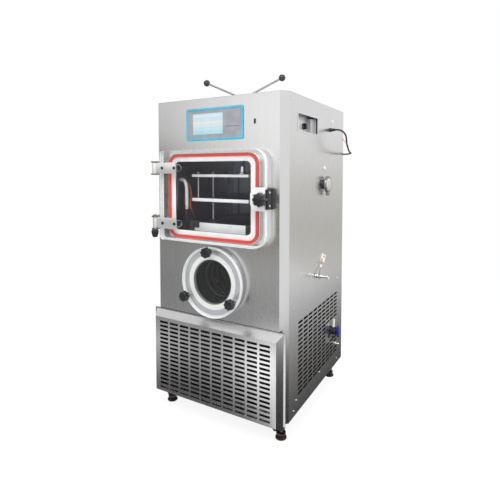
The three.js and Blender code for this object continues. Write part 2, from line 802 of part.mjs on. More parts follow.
/** Strap rolled round the hinge pin and laid flat on the door. */
function hingeStrap(middle) {
  const frontSpan = Math.sqrt(knuckleRadius ** 2 - (strapFront - hingeY) ** 2);
  const backSpan = Math.sqrt(knuckleRadius ** 2 - (strapBack - hingeY) ** 2);
  const plan = new THREE.Shape();
  plan.moveTo(strapEnd, strapBack);
  plan.lineTo(hingeX + backSpan, strapBack);
  plan.absarc(hingeX, hingeY, knuckleRadius, Math.atan2(strapBack - hingeY, backSpan),
    Math.atan2(strapFront - hingeY, frontSpan) + Math.PI * 2, false);
  plan.lineTo(strapEnd, strapFront);
  plan.holes.push(roundHole(hingeX, hingeY, hingePinRadius + running));
  return upright(plan, middle - strapHeight / 2, strapHeight, 7);
}

/** Bracket on the cabinet: foot, two lugs and the pin between them. */
function hingeBracket(middle, withHead) {
  const inner = strapHeight / 2 + gap;
  const outer = inner + lugThickness;
  const foot = block(hingeX - lugHalfWidth, -gap - footThickness, middle - outer,
    hingeFootEnd, -gap, middle + outer);
  const lugPlan = new THREE.Shape();
  lugPlan.moveTo(hingeX + lugHalfWidth, -gap - footThickness / 2);
  lugPlan.lineTo(hingeX - lugHalfWidth, -gap - footThickness / 2);
  lugPlan.lineTo(hingeX - lugHalfWidth, hingeY);
  lugPlan.absarc(hingeX, hingeY, lugHalfWidth, Math.PI, Math.PI * 2, false);
  const lugs = [inner, -outer].map((level) => upright(lugPlan, middle + level, lugThickness, 4));
  const pinTop = withHead ? outer + 5 : outer;
  const pin = bar(hingePinRadius, [hingeX, hingeY, middle - outer + 1], alongZ, pinTop + outer - 1);
  const head = bar(hingePinRadius + 3, [hingeX, hingeY, middle + outer - 1], alongZ, withHead ? 6 : 1);
  return join(foot, ...lugs, pin, head);
}

/** Tapered knob under the lower hinge, on the end of its pin. */
function hingeKnob(middle) {
  const top = middle - strapHeight / 2 - gap - lugThickness - gap;
  return turned([
    [0, 0], [hingeKnobRadius * 0.62, 0], [hingeKnobRadius, 6], [hingeKnobRadius, 14],
    [hingeKnobRadius * 0.55, hingeKnobHeight], [0, hingeKnobHeight],
  ], [hingeX, hingeY, top], down, 14);
}

function latchPlate() {
  const z = chamberMiddle;
  const plate = outline([
    [latchPlateLeft, z - latchPlateLeftHalf], [latchPlateCorner, z - latchPlateHalf],
    [latchPlateRight, z - latchPlateHalf], [latchPlateRight, z + latchPlateHalf],
    [latchPlateCorner, z + latchPlateHalf], [latchPlateLeft, z + latchPlateLeftHalf],
  ]);
  plate.holes.push(roundHole(latchX, z, latchStudRadius + running));
  return facing(plate, doorFront - gap, latchPlateThickness);
}

/** Star knob moulded on its stud. */
function latchKnob() {
  const collarBack = latchPlateFront - gap;
  const starBack = collarBack - latchCollarHeight;
  const studTip = -gap - catchFootThickness + latchStudReach;
  return join(
    facing(starOutline(latchX, chamberMiddle, latchKnobRadius, 7), starBack, latchKnobHeight),
    bar(latchCollarRadius, [latchX, collarBack, chamberMiddle], outFront, latchCollarHeight + 2, 16),
    bar(latchStudRadius, [latchX, studTip, chamberMiddle], outFront, studTip - starBack + 2),
  );
}

/** Block on the cabinet: a foot behind the door's edge and an ear beside it. */
function doorCatch() {
  const earInner = latchPlateRight + catchClear;
  const footFront = -gap - catchFootThickness;
  const earFront = doorFront - latchPlateThickness;
  const footInner = flangeHalfWidth + catchClear;
  const low = chamberMiddle - catchHalfHeight;
  const high = chamberMiddle + catchHalfHeight;
  return cut(
    join(
      block(footInner, footFront, low, earInner + catchEar, -gap, high),
      block(earInner, earFront, low, earInner + catchEar, -gap, high),
    ),
    drill(latchStudRadius + catchClear, [latchX, 1, chamberMiddle], outFront, catchFootThickness + 4),
  );
}

add('door_plate', doorPlate(), acrylic);
add('hinge_strap_upper', hingeStrap(chamberMiddle + hingeSpread), aluminium);
add('hinge_strap_lower', hingeStrap(chamberMiddle - hingeSpread), aluminium);
add('hinge_bracket_upper', hingeBracket(chamberMiddle + hingeSpread, false), aluminium);
add('hinge_bracket_lower', hingeBracket(chamberMiddle - hingeSpread, true), aluminium);
add('hinge_knob', hingeKnob(chamberMiddle - hingeSpread), blackPhenolic);
add('latch_plate', latchPlate(), aluminium);
add('door_knob', latchKnob(), blackPhenolic);
add('door_catch', doorCatch(), blackEnamel);

// ---------------------------------------------------------------- cold trap

/** Angle of each cover stud, the first one straight up. */
const studAngle = (i) => Math.PI / 2 + (i / trapKnobCount) * Math.PI * 2;
const studPlace = (i) => [
  trapStudCircle * Math.cos(studAngle(i)), trapMiddle + trapStudCircle * Math.sin(studAngle(i)),
];

function trapPot() {
  const front = trapFlangeProud;
  const pot = turned([
    [0, -trapLength - trapWall], [trapMouthRadius + trapWall, -trapLength - trapWall],
    [trapMouthRadius + trapWall, gap], [trapFlangeRadius, gap], [trapFlangeRadius, front],
    [trapMouthRadius, front], [trapMouthRadius, -trapLength], [0, -trapLength],
  ], [0, 0, trapMiddle], outFront, 24);
  const studs = [];
  for (let i = 0; i < trapKnobCount; i += 1) {
    const [x, z] = studPlace(i);
    studs.push(bar(trapStudRadius, [x, -front + 2, z], outFront, trapStudLength + 2, 8));
  }
  return join(pot, ...studs);
}

class Coil extends THREE.Curve {
  getPoint(t, target = new THREE.Vector3()) {
    const turn = t * coilTurns * Math.PI * 2;
    return target.set(
      coilRadius * Math.cos(turn), coilStart + t * coilTurns * coilPitch,
      trapMiddle + coilRadius * Math.sin(turn));
  }
}

const trapCoil = () => tube(new Coil(), coilTubeRadius * 0.97, coilTurns * 10, 4);

const trapSeal = () => turned([
  [trapSealInner, 0], [trapSealOuter, 0], [trapSealOuter, trapSealThickness],
  [trapSealInner, trapSealThickness], [trapSealInner, 0],
], [0, -trapFlangeProud - gap, trapMiddle], outFront, 28);

function trapCover() {
  const plate = circle(0, trapMiddle, trapCoverRadius);
  for (let i = 0; i < trapKnobCount; i += 1) {
    const [x, z] = studPlace(i);
    plate.holes.push(roundHole(x, z, trapStudRadius + running));
  }
  return facing(plate, trapCoverBack, trapCoverThickness, 16);
}

function trapKnob(i) {
  const [x, z] = studPlace(i);
  const collarBack = trapCoverFront - gap;
  const starBack = collarBack - trapCollarHeight;
  const boreDepth = trapFlangeProud + trapStudLength + 1 + collarBack;
  return cut(
    join(
      facing(starOutline(x, z, trapKnobRadius, 7), starBack, trapKnobHeight),
      bar(trapCollarRadius, [x, collarBack, z], outFront, trapCollarHeight + 2, 14),
    ),
    drill(trapStudRadius + running, [x, collarBack + 1, z], outFront, boreDepth + 1, 10),
  );
}

add('trap_pot', trapPot(), chamberSteel);
add('trap_coil', trapCoil(), copper);
add('trap_seal', trapSeal(), whiteSilicone);
add('trap_cover', trapCover(), acrylic);
for (let i = 0; i < trapKnobCount; i += 1) add(`trap_knob_${i + 1}`, trapKnob(i), blackPhenolic);

// ---------------------------------------------------------------- stoppering press

/** Column from the top panel down to the chamber's roof, bored for the hub's sleeve and the ram. */
function pressColumn() {
  const bore = ramRadius + running;
  const sleeveBore = pressSleeveRadius + running;
  const sleeveBottom = hubBottom - sleeveLength - gap;
  return turned([
    [bore, shellTop + gap], [pressTubeRadius, shellTop + gap], [pressTubeRadius, pressFlangeBottom],
    [pressFlangeRadius, pressFlangeBottom], [pressFlangeRadius, pressFlangeTop],
    [sleeveBore, pressFlangeTop], [sleeveBore, sleeveBottom], [bore, sleeveBottom],
    [bore, shellTop + gap],
  ], [0, pressY, 0], alongZ, 16);
}

const armDirection = (side) => {
  const rise = THREE.MathUtils.degToRad(armRise);
  const turn = THREE.MathUtils.degToRad(armTurn);
  return new THREE.Vector3(
    side * Math.cos(turn) * Math.cos(rise), side * Math.sin(turn) * Math.cos(rise), Math.sin(rise));
};

/** Turning hub with a sleeve down into the column and two arms welded on. */
function pressHandle() {
  const hub = turned([
    [ramRadius + running, -sleeveLength], [pressSleeveRadius, -sleeveLength], [pressSleeveRadius, 0],
    [hubRadius, 0], [hubRadius, hubHeight - 4], [hubRadius - 4, hubHeight], [0, hubHeight],
    [0, hubBoreDepth], [ramRadius + running, hubBoreDepth], [ramRadius + running, -sleeveLength],
  ], [0, pressY, hubBottom], alongZ, 16);
  const start = hubRadius - 6;
  const arms = [-1, 1].map((side) => {
    const direction = armDirection(side);
    const origin = new THREE.Vector3(0, pressY, hubCentre).addScaledVector(direction, start);
    return bar(armRadius, origin.toArray(), direction, armReach - start, 6);
  });
  return join(hub, ...arms);
}

/** Ball knob pushed over the end of an arm. */
function ballKnob(side) {
  const direction = armDirection(side);
  const middle = new THREE.Vector3(0, pressY, hubCentre).addScaledVector(direction, armReach);
  const flat = Math.sqrt(ballRadius ** 2 - (armRadius + 2) ** 2);
  const profile = [[armRadius + gap, -flat], [armRadius + 2, -flat]];
  const arcSteps = 7;
  const first = Math.asin(flat / ballRadius);
  for (let i = 1; i < arcSteps; i += 1) {
    const turn = -first + (i / arcSteps) * (first + Math.PI / 2);
    profile.push([ballRadius * Math.cos(turn), ballRadius * Math.sin(turn)]);
  }
  profile.push([0, ballRadius], [0, gap], [armRadius + gap, gap], [armRadius + gap, -flat]);
  return turned(profile, middle.toArray(), direction, 10);
}

/** Ram standing on the press plate, its top end in the hub's bore. */
function pressRam() {
  const bottom = pressPlateTop + gap;
  const top = hubBottom + hubBoreDepth - gap * 2;
  return bar(ramRadius, [0, pressY, bottom], alongZ, top - bottom, 12);
}

add('press_column', pressColumn(), brushedSteel);
add('press_handle', pressHandle(), chrome);
add('press_ball_left', ballKnob(-1), blackPhenolic);
add('press_ball_right', ballKnob(1), blackPhenolic);
add('press_ram', pressRam(), chrome);

// ---------------------------------------------------------------- refrigeration unit

const condenserCore = () => block(
  -coreHalfWidth, coreY, trayFloor + gap, coreHalfWidth, coreY + coreDepth, trayFloor + gap + coreHeight);

/** Shroud plate behind the core with the fan's ring and the motor on three arms. */
function fanMotor() {
  const back = coreY + coreDepth + gap + shroudThickness;
  const plate = outline([
    [-coreHalfWidth, trayFloor + gap], [coreHalfWidth, trayFloor + gap],
    [coreHalfWidth, trayFloor + gap + coreHeight], [-coreHalfWidth, trayFloor + gap + coreHeight],
  ]);
  plate.holes.push(roundHole(0, fanZ, fanRadius + 6, 20));
  const motorFront = fanY + gap;
  const spokes = [0, 1, 2].map((i) => {
    const turn = Math.PI / 2 + (i / 3) * Math.PI * 2;
    const reach = fanRadius + 12;
    const spoke = curveThrough([
      [reach * Math.cos(turn), back - 1, fanZ + reach * Math.sin(turn)],
      [reach * Math.cos(turn), motorFront + 6, fanZ + reach * Math.sin(turn)],
      [0, motorFront + 12, fanZ],
    ]);
    return tube(spoke, 4, 4, 4);
  });
  return join(
    facing(plate, back, shroudThickness, 10),
    bar(motorRadius, [0, motorFront, fanZ], alongY, motorLength, 14),
    bar(fanShaftRadius, [0, motorFront - fanShaftReach, fanZ], alongY, fanShaftReach + 2, 8),
    ...spokes,
  );
}

/** Axial fan: hub with flat blades set at an angle. */
function fan() {
  const hub = cut(
    bar(fanHubRadius, [0, fanY - fanDepth, fanZ], alongY, fanDepth, 12),
    drill(fanShaftRadius + running, [0, fanY - fanShaftReach, fanZ], alongY, fanShaftReach + 1, 8),
  );
  const blades = [];
  for (let i = 0; i < fanBlades; i += 1) {
    const length = fanRadius - fanHubRadius + 4;
    const blade = new THREE.BoxGeometry(length, fanBladeThickness, fanBladeWidth);
    blade.rotateX(THREE.MathUtils.degToRad(32));
    blade.translate(fanHubRadius - 4 + length / 2, 0, 0);
    blade.rotateY((i / fanBlades) * Math.PI * 2);
    blade.translate(0, fanY - fanDepth / 2, fanZ);
    blades.push(solid(blade));
  }
  return join(hub, ...blades);
}

function compressor() {
  const dome = compressorHeight;
  const shell = turned([
    [0, 0], [compressorRadius * 0.8, 0], [compressorRadius * 0.95, 10], [compressorRadius, 40],
    [compressorRadius + 3, dome * 0.5], [compressorRadius, dome * 0.55],
    [compressorRadius * 0.93, dome * 0.8], [compressorRadius * 0.6, dome * 0.96], [0, dome],
  ], [compressorX, compressorY, trayFloor + gap + compressorBase - compressorFoot], alongZ, 14);
  const base = block(
    compressorX - compressorRadius, compressorY - compressorRadius, trayFloor + gap,
    compressorX + compressorRadius, compressorY + compressorRadius, trayFloor + gap + compressorBase);
  return join(shell, base);
}

add('condenser_core', condenserCore(), aluminium);
add('fan_motor', fanMotor(), blackEnamel);
add('fan', fan(), blackRubber);
add('compressor', compressor(), blackEnamel);

// ---------------------------------------------------------------- control panel

/** Bezel with a raised frame, a pocket for the screen and a housing behind the sheet. */
function controlPanel() {
  const front = -gap;
  const bezel = facing(roundedRectangle(
    -panelHalfWidth, panelBottom, panelHalfWidth, panelTop, panelRadius), front, panelProud, 2);
  const face = facing(roundedRectangle(
    -panelHousingHalf, panelHousingBottom, panelHousingHalf, panelHousingTop, 2),
  front - panelProud + panelStep, panelStep + 1, 1);
  const housing = block(
    -panelHousingHalf, -gap - 1, panelHousingBottom, panelHousingHalf, panelBody, panelHousingTop);
  const pocket = block(
    screenLeft - gap, front - panelProud - 1, screenBottom - gap,
    screenRight + gap, front - panelProud + panelStep + screenThickness, screenTop + gap);
  return cut(join(bezel, housing), face, pocket);
}

const panelScreen = () => {
  const back = -gap - panelProud + panelStep + screenThickness - gap;
  return block(screenLeft, back - screenThickness, screenBottom, screenRight, back, screenTop);
};

/** Service socket: a small block with an open mouth. */
function servicePort() {
  const x = servicePortWidth / 2;
  const z = servicePortHeight / 2;
  const mouthX = x - servicePortWall;
  const mouthZ = z - servicePortWall;
  return cut(
    block(servicePortX - x, -servicePortProud, servicePortZ - z,
      servicePortX + x, servicePortDepth, servicePortZ + z),
    block(servicePortX - mouthX, -servicePortProud - 1, servicePortZ - mouthZ,
      servicePortX + mouthX, servicePortDepth - servicePortFloor, servicePortZ + mouthZ),
  );
}

add('control_panel', controlPanel(), tealPlastic);
add('panel_screen', panelScreen(), screenGlass);
add('service_port', servicePort(), blackPhenolic);

// ---------------------------------------------------------------- right-hand side

/** Folded tray let into the side panel, with a lip round its mouth and a terminal cover inside. */
function switchRecess() {
  const inner = halfWidth - recessDepth;
  const lipInner = halfWidth + gap;
  const tray = block(inner - sheet, recessFront - sheet, recessBottom - sheet,
    lipInner + recessLipThickness / 2, recessBack + sheet, recessTop + sheet);
  const lip = block(lipInner, recessFront - recessLip, recessBottom - recessLip,
    lipInner + recessLipThickness, recessBack + recessLip, recessTop + recessLip);
  const hollow = block(
    inner, recessFront, recessBottom, lipInner + recessLipThickness + 1, recessBack, recessTop);
  const coverBack = recessBack - terminalBlockInset;
  const terminalCover = block(
    inner - sheet / 2, coverBack - terminalBlockWidth, recessBottom + terminalBlockInset,
    inner + terminalBlockDepth, coverBack, recessTop - terminalBlockInset);
  return join(cut(join(tray, lip), hollow), terminalCover);
}

/** Rotary switch: a disc with a finger bar across it. */
function mainSwitch() {
  const base = halfWidth - recessDepth + gap;
  return join(
    bar(switchRadius, [base, switchY, switchZ], alongX, switchHeight * 0.5, 20),
    sideways(roundedRectangle(switchY - 3.5, switchZ - switchRadius + 1, switchY + 3.5,
      switchZ + switchRadius - 1, 3), base + 1, switchHeight - 1, 2),
  );
}

/** Vacuum port: stub, flange and blank, seen as one turned body. */
const vacuumPort = () => turned([
  [0, -12], [portStubRadius, -12], [portStubRadius, portStubLength],
  [portFlangeRadius, portStubLength + 3], [portFlangeRadius, portStubLength + portFlangeLength - 3],
  [portFlangeRadius - 7, portStubLength + portFlangeLength], [0, portStubLength + portFlangeLength],
], [halfWidth, portY, portZ], alongX, 20);

/** Ring clamp round the port's flange, with the lug of its wing screw below. */
function portClamp() {
  const start = portStubLength + clampInset;
  const end = portStubLength + portFlangeLength - clampInset;
  const ring = turned([
    [portFlangeRadius + gap, start], [clampOuterRadius, start], [clampOuterRadius, end],
    [portFlangeRadius + gap, end], [portFlangeRadius + gap, start],
  ], [halfWidth, portY, portZ], alongX, 20);
  const ringBottom = portZ - clampOuterRadius;
  const lug = block(halfWidth + start, portY - clampLugHalf, ringBottom - clampLugDrop,
    halfWidth + end, portY + clampLugHalf, ringBottom + 2);
  return join(ring, lug);
}

/** Air inlet valve: hexagon, slim body and flared hose end. */
const airInlet = () => turned([
  [0, -10], [inletRadius, -10], [inletRadius, gap], [inletRadius + 2.5, gap], [inletRadius + 2.5, 7],
  [inletRadius - 1.5, 8.5], [inletRadius - 1.5, inletLength - 12], [inletRadius + 3.5, inletLength],
  [inletRadius, inletLength], [inletRadius - 3, inletLength - 8], [0, inletLength - 8],
], [halfWidth, inletY, inletZ], alongX, 10);

/** Drain valve: stem through the sheet, round body and an upright outlet. */
function drainValve() {
  const origin = [halfWidth, drainY, drainZ];
  const body = turned([
    [0, -10], [drainStemRadius, -10], [drainStemRadius, gap], [drainBodyRadius, gap],
    [drainBodyRadius, drainBodyLength - 4], [drainBodyRadius - 4, drainBodyLength],
    [drainStemRadius, drainBodyLength], [drainStemRadius, drainBodyLength + drainStemLength],
    [0, drainBodyLength + drainStemLength],
  ], origin, alongX, 12);
  const outlet = bar(
    drainOutletRadius, [halfWidth + drainBodyLength / 2, drainY, drainZ], alongZ, drainOutletRise, 8);
  return join(body, outlet);
}

/** Butterfly handle: two pointed wings round a boss. */
function drainHandle() {
  const inner = halfWidth + drainBodyLength + gap;
  const half = drainHandleHalf;
  const wide = drainHandleWidth / 2;
  const wings = outline([
    [drainY - wide * 0.35, drainZ - half], [drainY + wide * 0.35, drainZ - half],
    [drainY + wide, drainZ - half * 0.1], [drainY + wide, drainZ + half * 0.1],
    [drainY + wide * 0.35, drainZ + half], [drainY - wide * 0.35, drainZ + half],
    [drainY - wide, drainZ + half * 0.1], [drainY - wide, drainZ - half * 0.1],
  ]);
  const boss = bar(drainBossRadius, [inner, drainY, drainZ], alongX, drainStemLength + 2, 14);
  const bore = drill(
    drainStemRadius + running, [inner - 1, drainY, drainZ], alongX, drainStemLength + 1 + gap, 14);
  return cut(join(sideways(wings, inner + 4, drainHandleThickness), boss), bore);
}

const drainNozzle = () => turned([
  [0, -10], [nozzleRadius, -10], [nozzleRadius, gap], [nozzleRadius + 3, gap], [nozzleRadius + 3, 5],
  [nozzleRadius, 5], [nozzleRadius, nozzleLength], [0, nozzleLength],
], [halfWidth, nozzleY, nozzleZ], alongX, 12);

/** Cable gland: spigot through the sheet, nut and tapered cap, bored for the lead. */
const gland = (origin, direction) => turned([
  [0, -glandSpigot], [glandSpigotRadius, -glandSpigot], [glandSpigotRadius, gap], [glandRadius, gap],
  [glandRadius, glandNut], [glandRadius * 0.72, glandNut + 2], [glandRadius * 0.5, glandLength],
  [0, glandLength],
], origin, direction, 12);

/** Lead from the side gland, round the rear corner and into the rear gland. */
function lead() {
  const droop = THREE.MathUtils.degToRad(leadDroop);
  const quarter = (turn) => [leadBend * Math.sin(turn), leadBend * (1 - Math.cos(turn))];
  const sideStart = halfWidth + glandLength + gap;
  const sideBend = [0, 1, 2, 3, 4].map((i) => {
    const [out, along] = quarter(i * Math.PI / 8);
    const drop = along * Math.sin(droop);
    return [sideStart + leadEndStraight + out, sideGlandY + along * Math.cos(droop), sideGlandZ - drop];
  });
  const rearStart = cabinetDepth + glandLength + gap;
  const rearBend = [4, 3, 2, 1, 0].map((i) => {
    const [out, along] = quarter(i * Math.PI / 8);
    return [rearGlandX + along, rearStart + leadEndStraight + out, rearGlandZ + along / 14];
  });
  return tube(curveThrough([
    [sideStart, sideGlandY, sideGlandZ],
    ...sideBend,
    [halfWidth + 64, sideGlandY + 35, sideGlandZ - 60],
    [halfWidth + 61, sideGlandY + 65, sideGlandZ - 78],
    [halfWidth + 54, sideGlandY + 102, sideGlandZ - 88],
    [halfWidth + 46, cabinetDepth - 42, rearGlandZ + 6],
    [halfWidth + 37, cabinetDepth + 2, rearGlandZ + 5],
    [halfWidth + 20, cabinetDepth + 39, rearGlandZ + 4],
    [halfWidth, cabinetDepth + 59, rearGlandZ + 3],
    ...rearBend,
    [rearGlandX, rearStart, rearGlandZ],
  ]), leadRadius, 28, 8);
}

add('switch_recess', switchRecess(), brushedSteel);
add('main_switch', mainSwitch(), blackPhenolic);
add('vacuum_port', vacuumPort(), chrome);
add('port_clamp', portClamp(), chrome);
add('air_inlet', airInlet(), chrome);
add('drain_valve', drainValve(), blackEnamel);
add('drain_handle', drainHandle(), bluePlastic);
add('drain_nozzle', drainNozzle(), chrome);
add('side_gland', gland([halfWidth, sideGlandY, sideGlandZ], alongX), blackPhenolic);
add('rear_gland', gland([rearGlandX, cabinetDepth, rearGlandZ], alongY), blackPhenolic);
add('lead', lead(), blackRubber);

// ---------------------------------------------------------------- casters

const wheelAxle = wheelRadius + wheelLift;

/** Swivel housing with its levelling foot; foot, stem and thumb wheel stand on the swivel axis. */
function casterHousing() {
  const capTop = cabinetBottom - gap;
  const capBottom = capTop - casterCapThickness;
  const post = turned([
    [0, 0], [footRadius, 0], [footRadius, footHeight * 0.6], [footStemRadius, footHeight],
    [footStemRadius, thumbWheelBottom], [thumbWheelRadius, thumbWheelBottom],
    [thumbWheelRadius, thumbWheelBottom + thumbWheelHeight], [casterBossRadius, bossBottom],
    [casterBossRadius, capBottom],
    [casterCapRadius, capBottom], [casterCapRadius, capTop], [0, capTop],
  ], [0, 0, 0], alongZ, 10);
  const cheekInner = wheelWidth / 2 + 1;
  const cheekOuter = cheekInner + cheekThickness;
  const hoodBottom = wheelAxle + wheelRadius + 2;
  const cheekBottom = wheelAxle - axleRadius * 2;
  const cheeks = [cheekOuter, -cheekInner].map((back) => facing(outline([
    [0, bossBottom], [0, capBottom + 1], [-wheelTrail * 1.1, capBottom + 1],
    [-wheelTrail * 1.55, hoodBottom], [-wheelTrail * 1.2, cheekBottom], [-wheelTrail * 0.8, cheekBottom],
    [-wheelTrail * 0.5, bossBottom],
  ]), back, cheekThickness));
  const hood = block(-wheelTrail * 1.1, -cheekOuter, hoodBottom, 0, cheekOuter, capBottom + 1);
  const axle = bar(axleRadius, [-wheelTrail, -cheekInner - 2, wheelAxle], alongY, cheekInner * 2 + 4, 6);
  return join(post, hood, ...cheeks, axle);
}

function casterWheel() {
  const half = wheelWidth / 2;
  const bore = axleRadius + running;
  return turned([
    [bore, -half], [wheelRadius - 2, -half], [wheelRadius, -half + 3], [wheelRadius, half - 3],
    [wheelRadius - 2, half], [bore, half], [bore, -half],
  ], [-wheelTrail, 0, wheelAxle], alongY, 12);
}

for (const [place, x, y] of [
  ['front_left', -casterX, casterInsetY], ['front_right', casterX, casterInsetY],
  ['rear_left', -casterX, cabinetDepth - casterInsetY], ['rear_right', casterX, cabinetDepth - casterInsetY],
]) {
  const stand = (body) => body.rotate([0, 0, casterTurn]).translate([x, y, 0]);
  add(`caster_${place}`, stand(casterHousing()), aluminium);
  add(`wheel_${place}`, stand(casterWheel()), blackRubber);
}

// ---------------------------------------------------------------- frame

// The origin goes to the middle of the underside of everything but the lead.
const extent = new THREE.Box3();
root.updateMatrixWorld(true);
for (const mesh of root.children) if (mesh.name !== 'lead') extent.expandByObject(mesh, true);
const middle = extent.getCenter(new THREE.Vector3());
root.position.set(-middle.x, -middle.y, -extent.min.z);

export default root;
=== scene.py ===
"""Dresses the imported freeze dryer: sheet metal, clear door, cold trap, press, fittings and stage."""

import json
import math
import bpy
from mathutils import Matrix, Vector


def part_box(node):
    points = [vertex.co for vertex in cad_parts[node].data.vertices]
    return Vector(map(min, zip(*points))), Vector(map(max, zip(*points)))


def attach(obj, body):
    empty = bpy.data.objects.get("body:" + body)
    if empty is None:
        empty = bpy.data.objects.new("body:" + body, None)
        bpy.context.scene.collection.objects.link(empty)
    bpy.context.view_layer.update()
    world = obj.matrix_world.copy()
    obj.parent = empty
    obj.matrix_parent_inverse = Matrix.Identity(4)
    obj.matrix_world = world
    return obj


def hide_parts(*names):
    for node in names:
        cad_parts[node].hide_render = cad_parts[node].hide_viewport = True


bl_info = {
    "name": "Freeze Dryer Builder",
    "version": (1, 0, 0),
    "blender": (4, 5, 0),
    "location": "View3D > Sidebar > Freeze Dryer",
    "description": "Builds a laboratory freeze dryer piece by piece around its CAD frame",
    "category": "Object",
}

import bmesh
import bpy
from bpy.props import FloatProperty, IntProperty, PointerProperty, StringProperty
from mathutils import Vector

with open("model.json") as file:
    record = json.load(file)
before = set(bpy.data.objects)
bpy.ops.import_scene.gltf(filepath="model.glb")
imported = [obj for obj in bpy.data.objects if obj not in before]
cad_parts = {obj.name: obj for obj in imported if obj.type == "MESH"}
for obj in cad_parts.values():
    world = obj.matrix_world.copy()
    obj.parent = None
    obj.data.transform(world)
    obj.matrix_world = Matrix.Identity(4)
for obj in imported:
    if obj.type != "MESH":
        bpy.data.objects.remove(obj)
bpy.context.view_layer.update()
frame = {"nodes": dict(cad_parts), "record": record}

MM = 0.001
top_low, top_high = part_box("top_panel")
# The cabinet's own measures are in millimetres from the middle of its front face at the floor.
CABINET_X = (top_low.x + top_high.x) / 2
CABINET_Y = top_low.y


# ------------ measures from the frame


def to_row(point):
    """A point in cabinet millimetres as metres in the row frame."""
    x, y, z = point
    return Vector((CABINET_X + x * MM, CABINET_Y + y * MM, z * MM))


def span(node):
    """Lowest and highest corner of a CAD node, in cabinet millimetres."""
    low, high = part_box(node)
    shift = Vector((CABINET_X, CABINET_Y, 0))
    return (low - shift) / MM, (high - shift) / MM


def middle(node):
    """Middle of a CAD node's box, in cabinet millimetres."""
    low, high = span(node)
    return (low + high) / 2


def joint_place(name):
    """A joint's point in cabinet millimetres."""
    joints = {joint["name"]: joint for joint in frame["record"]["behaviour"]["joints"]}
    point = Vector(joints[name]["pos_m"])
    return (point - Vector((CABINET_X, CABINET_Y, 0))) / MM


# ------------ mesh helpers

OUT_FRONT = Vector((0, -1, 0))
OUT_RIGHT = Vector((1, 0, 0))
OUT_BACK = Vector((0, 1, 0))
UP = Vector((0, 0, 1))
DOWN = Vector((0, 0, -1))


def front_plane(u, v, depth):
    """Drawn in X and Z, with depth towards the back."""
    return Vector((u, depth, v))


def side_plane(u, v, depth):
    """Drawn in Y and Z, with depth towards the right."""
    return Vector((depth, u, v))


def floor_plane(u, v, depth):
    """Drawn in X and Y, with depth upwards."""
    return Vector((u, v, depth))


def arc(centre_u, centre_v, radius, start, end, steps):
    """Points on an arc, both ends included, in degrees."""
    points = []
    for i in range(steps + 1):
        turn = math.radians(start + (end - start) * i / steps)
        points.append((centre_u + radius * math.cos(turn), centre_v + radius * math.sin(turn)))
    return points


def rounded_rectangle(u0, v0, u1, v1, radii, steps=8):
    """Anticlockwise outline with a radius for each corner, from the lower left on."""
    a, b, c, d = radii if isinstance(radii, tuple) else (radii,) * 4
    return (
        arc(u0 + a, v0 + a, a, 180, 270, steps)
        + arc(u1 - b, v0 + b, b, 270, 360, steps)
        + arc(u1 - c, v1 - c, c, 0, 90, steps)
        + arc(u0 + d, v1 - d, d, 90, 180, steps)
    )


def box_outline(low, high, radii, inset=0.0, steps=8):
    """Rounded outline of a box seen from the front, drawn in from its sides by an inset."""
    return rounded_rectangle(low.x + inset, low.z + inset, high.x - inset, high.z - inset, radii, steps)


def prism(bm, outline, plane, near, far):
    """Solid between two depths with one closed outline."""
    first = [bm.verts.new(plane(u, v, near)) for u, v in outline]
    second = [bm.verts.new(plane(u, v, far)) for u, v in outline]
    bm.faces.new(first)
    bm.faces.new(list(reversed(second)))
    for i, vertex in enumerate(first):
        j = (i + 1) % len(first)
        bm.faces.new((vertex, second[i], second[j], first[j]))
    return bm


def band(bm, outer, inner, plane, near, far):
    """Solid ring between two outlines with the same number of points."""
    loops = [
        [bm.verts.new(plane(u, v, depth)) for u, v in outline]
        for outline, depth in ((outer, near), (inner, near), (inner, far), (outer, far))
    ]
    for k, loop in enumerate(loops):
        following = loops[(k + 1) % 4]
        for i in range(len(loop)):
            j = (i + 1) % len(loop)
            bm.faces.new((loop[i], loop[j], following[j], following[i]))
    return bm


def block(bm, low, high):
    """Box between two corners."""
    return prism(bm, [(low[0], low[1]), (high[0], low[1]), (high[0], high[1]), (low[0], high[1])],
                 floor_plane, low[2], high[2])


def frame_of(axis):
    """Two directions square to an axis."""
    axis = axis.normalized()
    helper = UP if abs(axis.z) < 0.9 else OUT_RIGHT
    first = helper.cross(axis).normalized()
    return first, axis.cross(first)


def lathe(bm, profile, origin, axis, segments=40):
    """Solid turned from (radius, along) points; a zero radius closes on the axis."""
    origin, axis = Vector(origin), Vector(axis).normalized()
    first, second = frame_of(axis)
    rings = []
    for radius, along in profile:
        centre = origin + axis * along
        if radius < 1e-6:
            rings.append([bm.verts.new(centre)])
            continue
        ring = []
        for i in range(segments):
            turn = 2 * math.pi * i / segments
            ring.append(bm.verts.new(centre + radius * (math.cos(turn) * first + math.sin(turn) * second)))
        rings.append(ring)
    for ring, following in zip(rings, rings[1:]):
        for i in range(segments):
            j = (i + 1) % segments
            if len(ring) == 1 and len(following) > 1:
                bm.faces.new((ring[0], following[j], following[i]))
            elif len(following) == 1 and len(ring) > 1:
                bm.faces.new((ring[i], ring[j], following[0]))
            elif len(ring) > 1:
                bm.faces.new((ring[i], ring[j], following[j], following[i]))
    return bm


def closed_lathe(bm, profile, origin, axis, segments=40):
    """Turned ring whose profile closes on itself, away from the axis."""
    lathe(bm, profile + profile[:1], origin, axis, segments)
    bmesh.ops.remove_doubles(bm, verts=bm.verts, dist=1e-4)
    return bm


def rod(bm, radius, start, end, origin, axis, segments=40):
    """Plain cylinder between two places along an axis."""
    return lathe(bm, [(0, start), (radius, start), (radius, end), (0, end)], origin, axis, segments)


def washer(bm, inner, outer, start, end, origin, axis, segments=40):
    """Flat ring between two places along an axis."""
    return closed_lathe(bm, [(inner, start), (outer, start), (outer, end), (inner, end)],
                        origin, axis, segments)


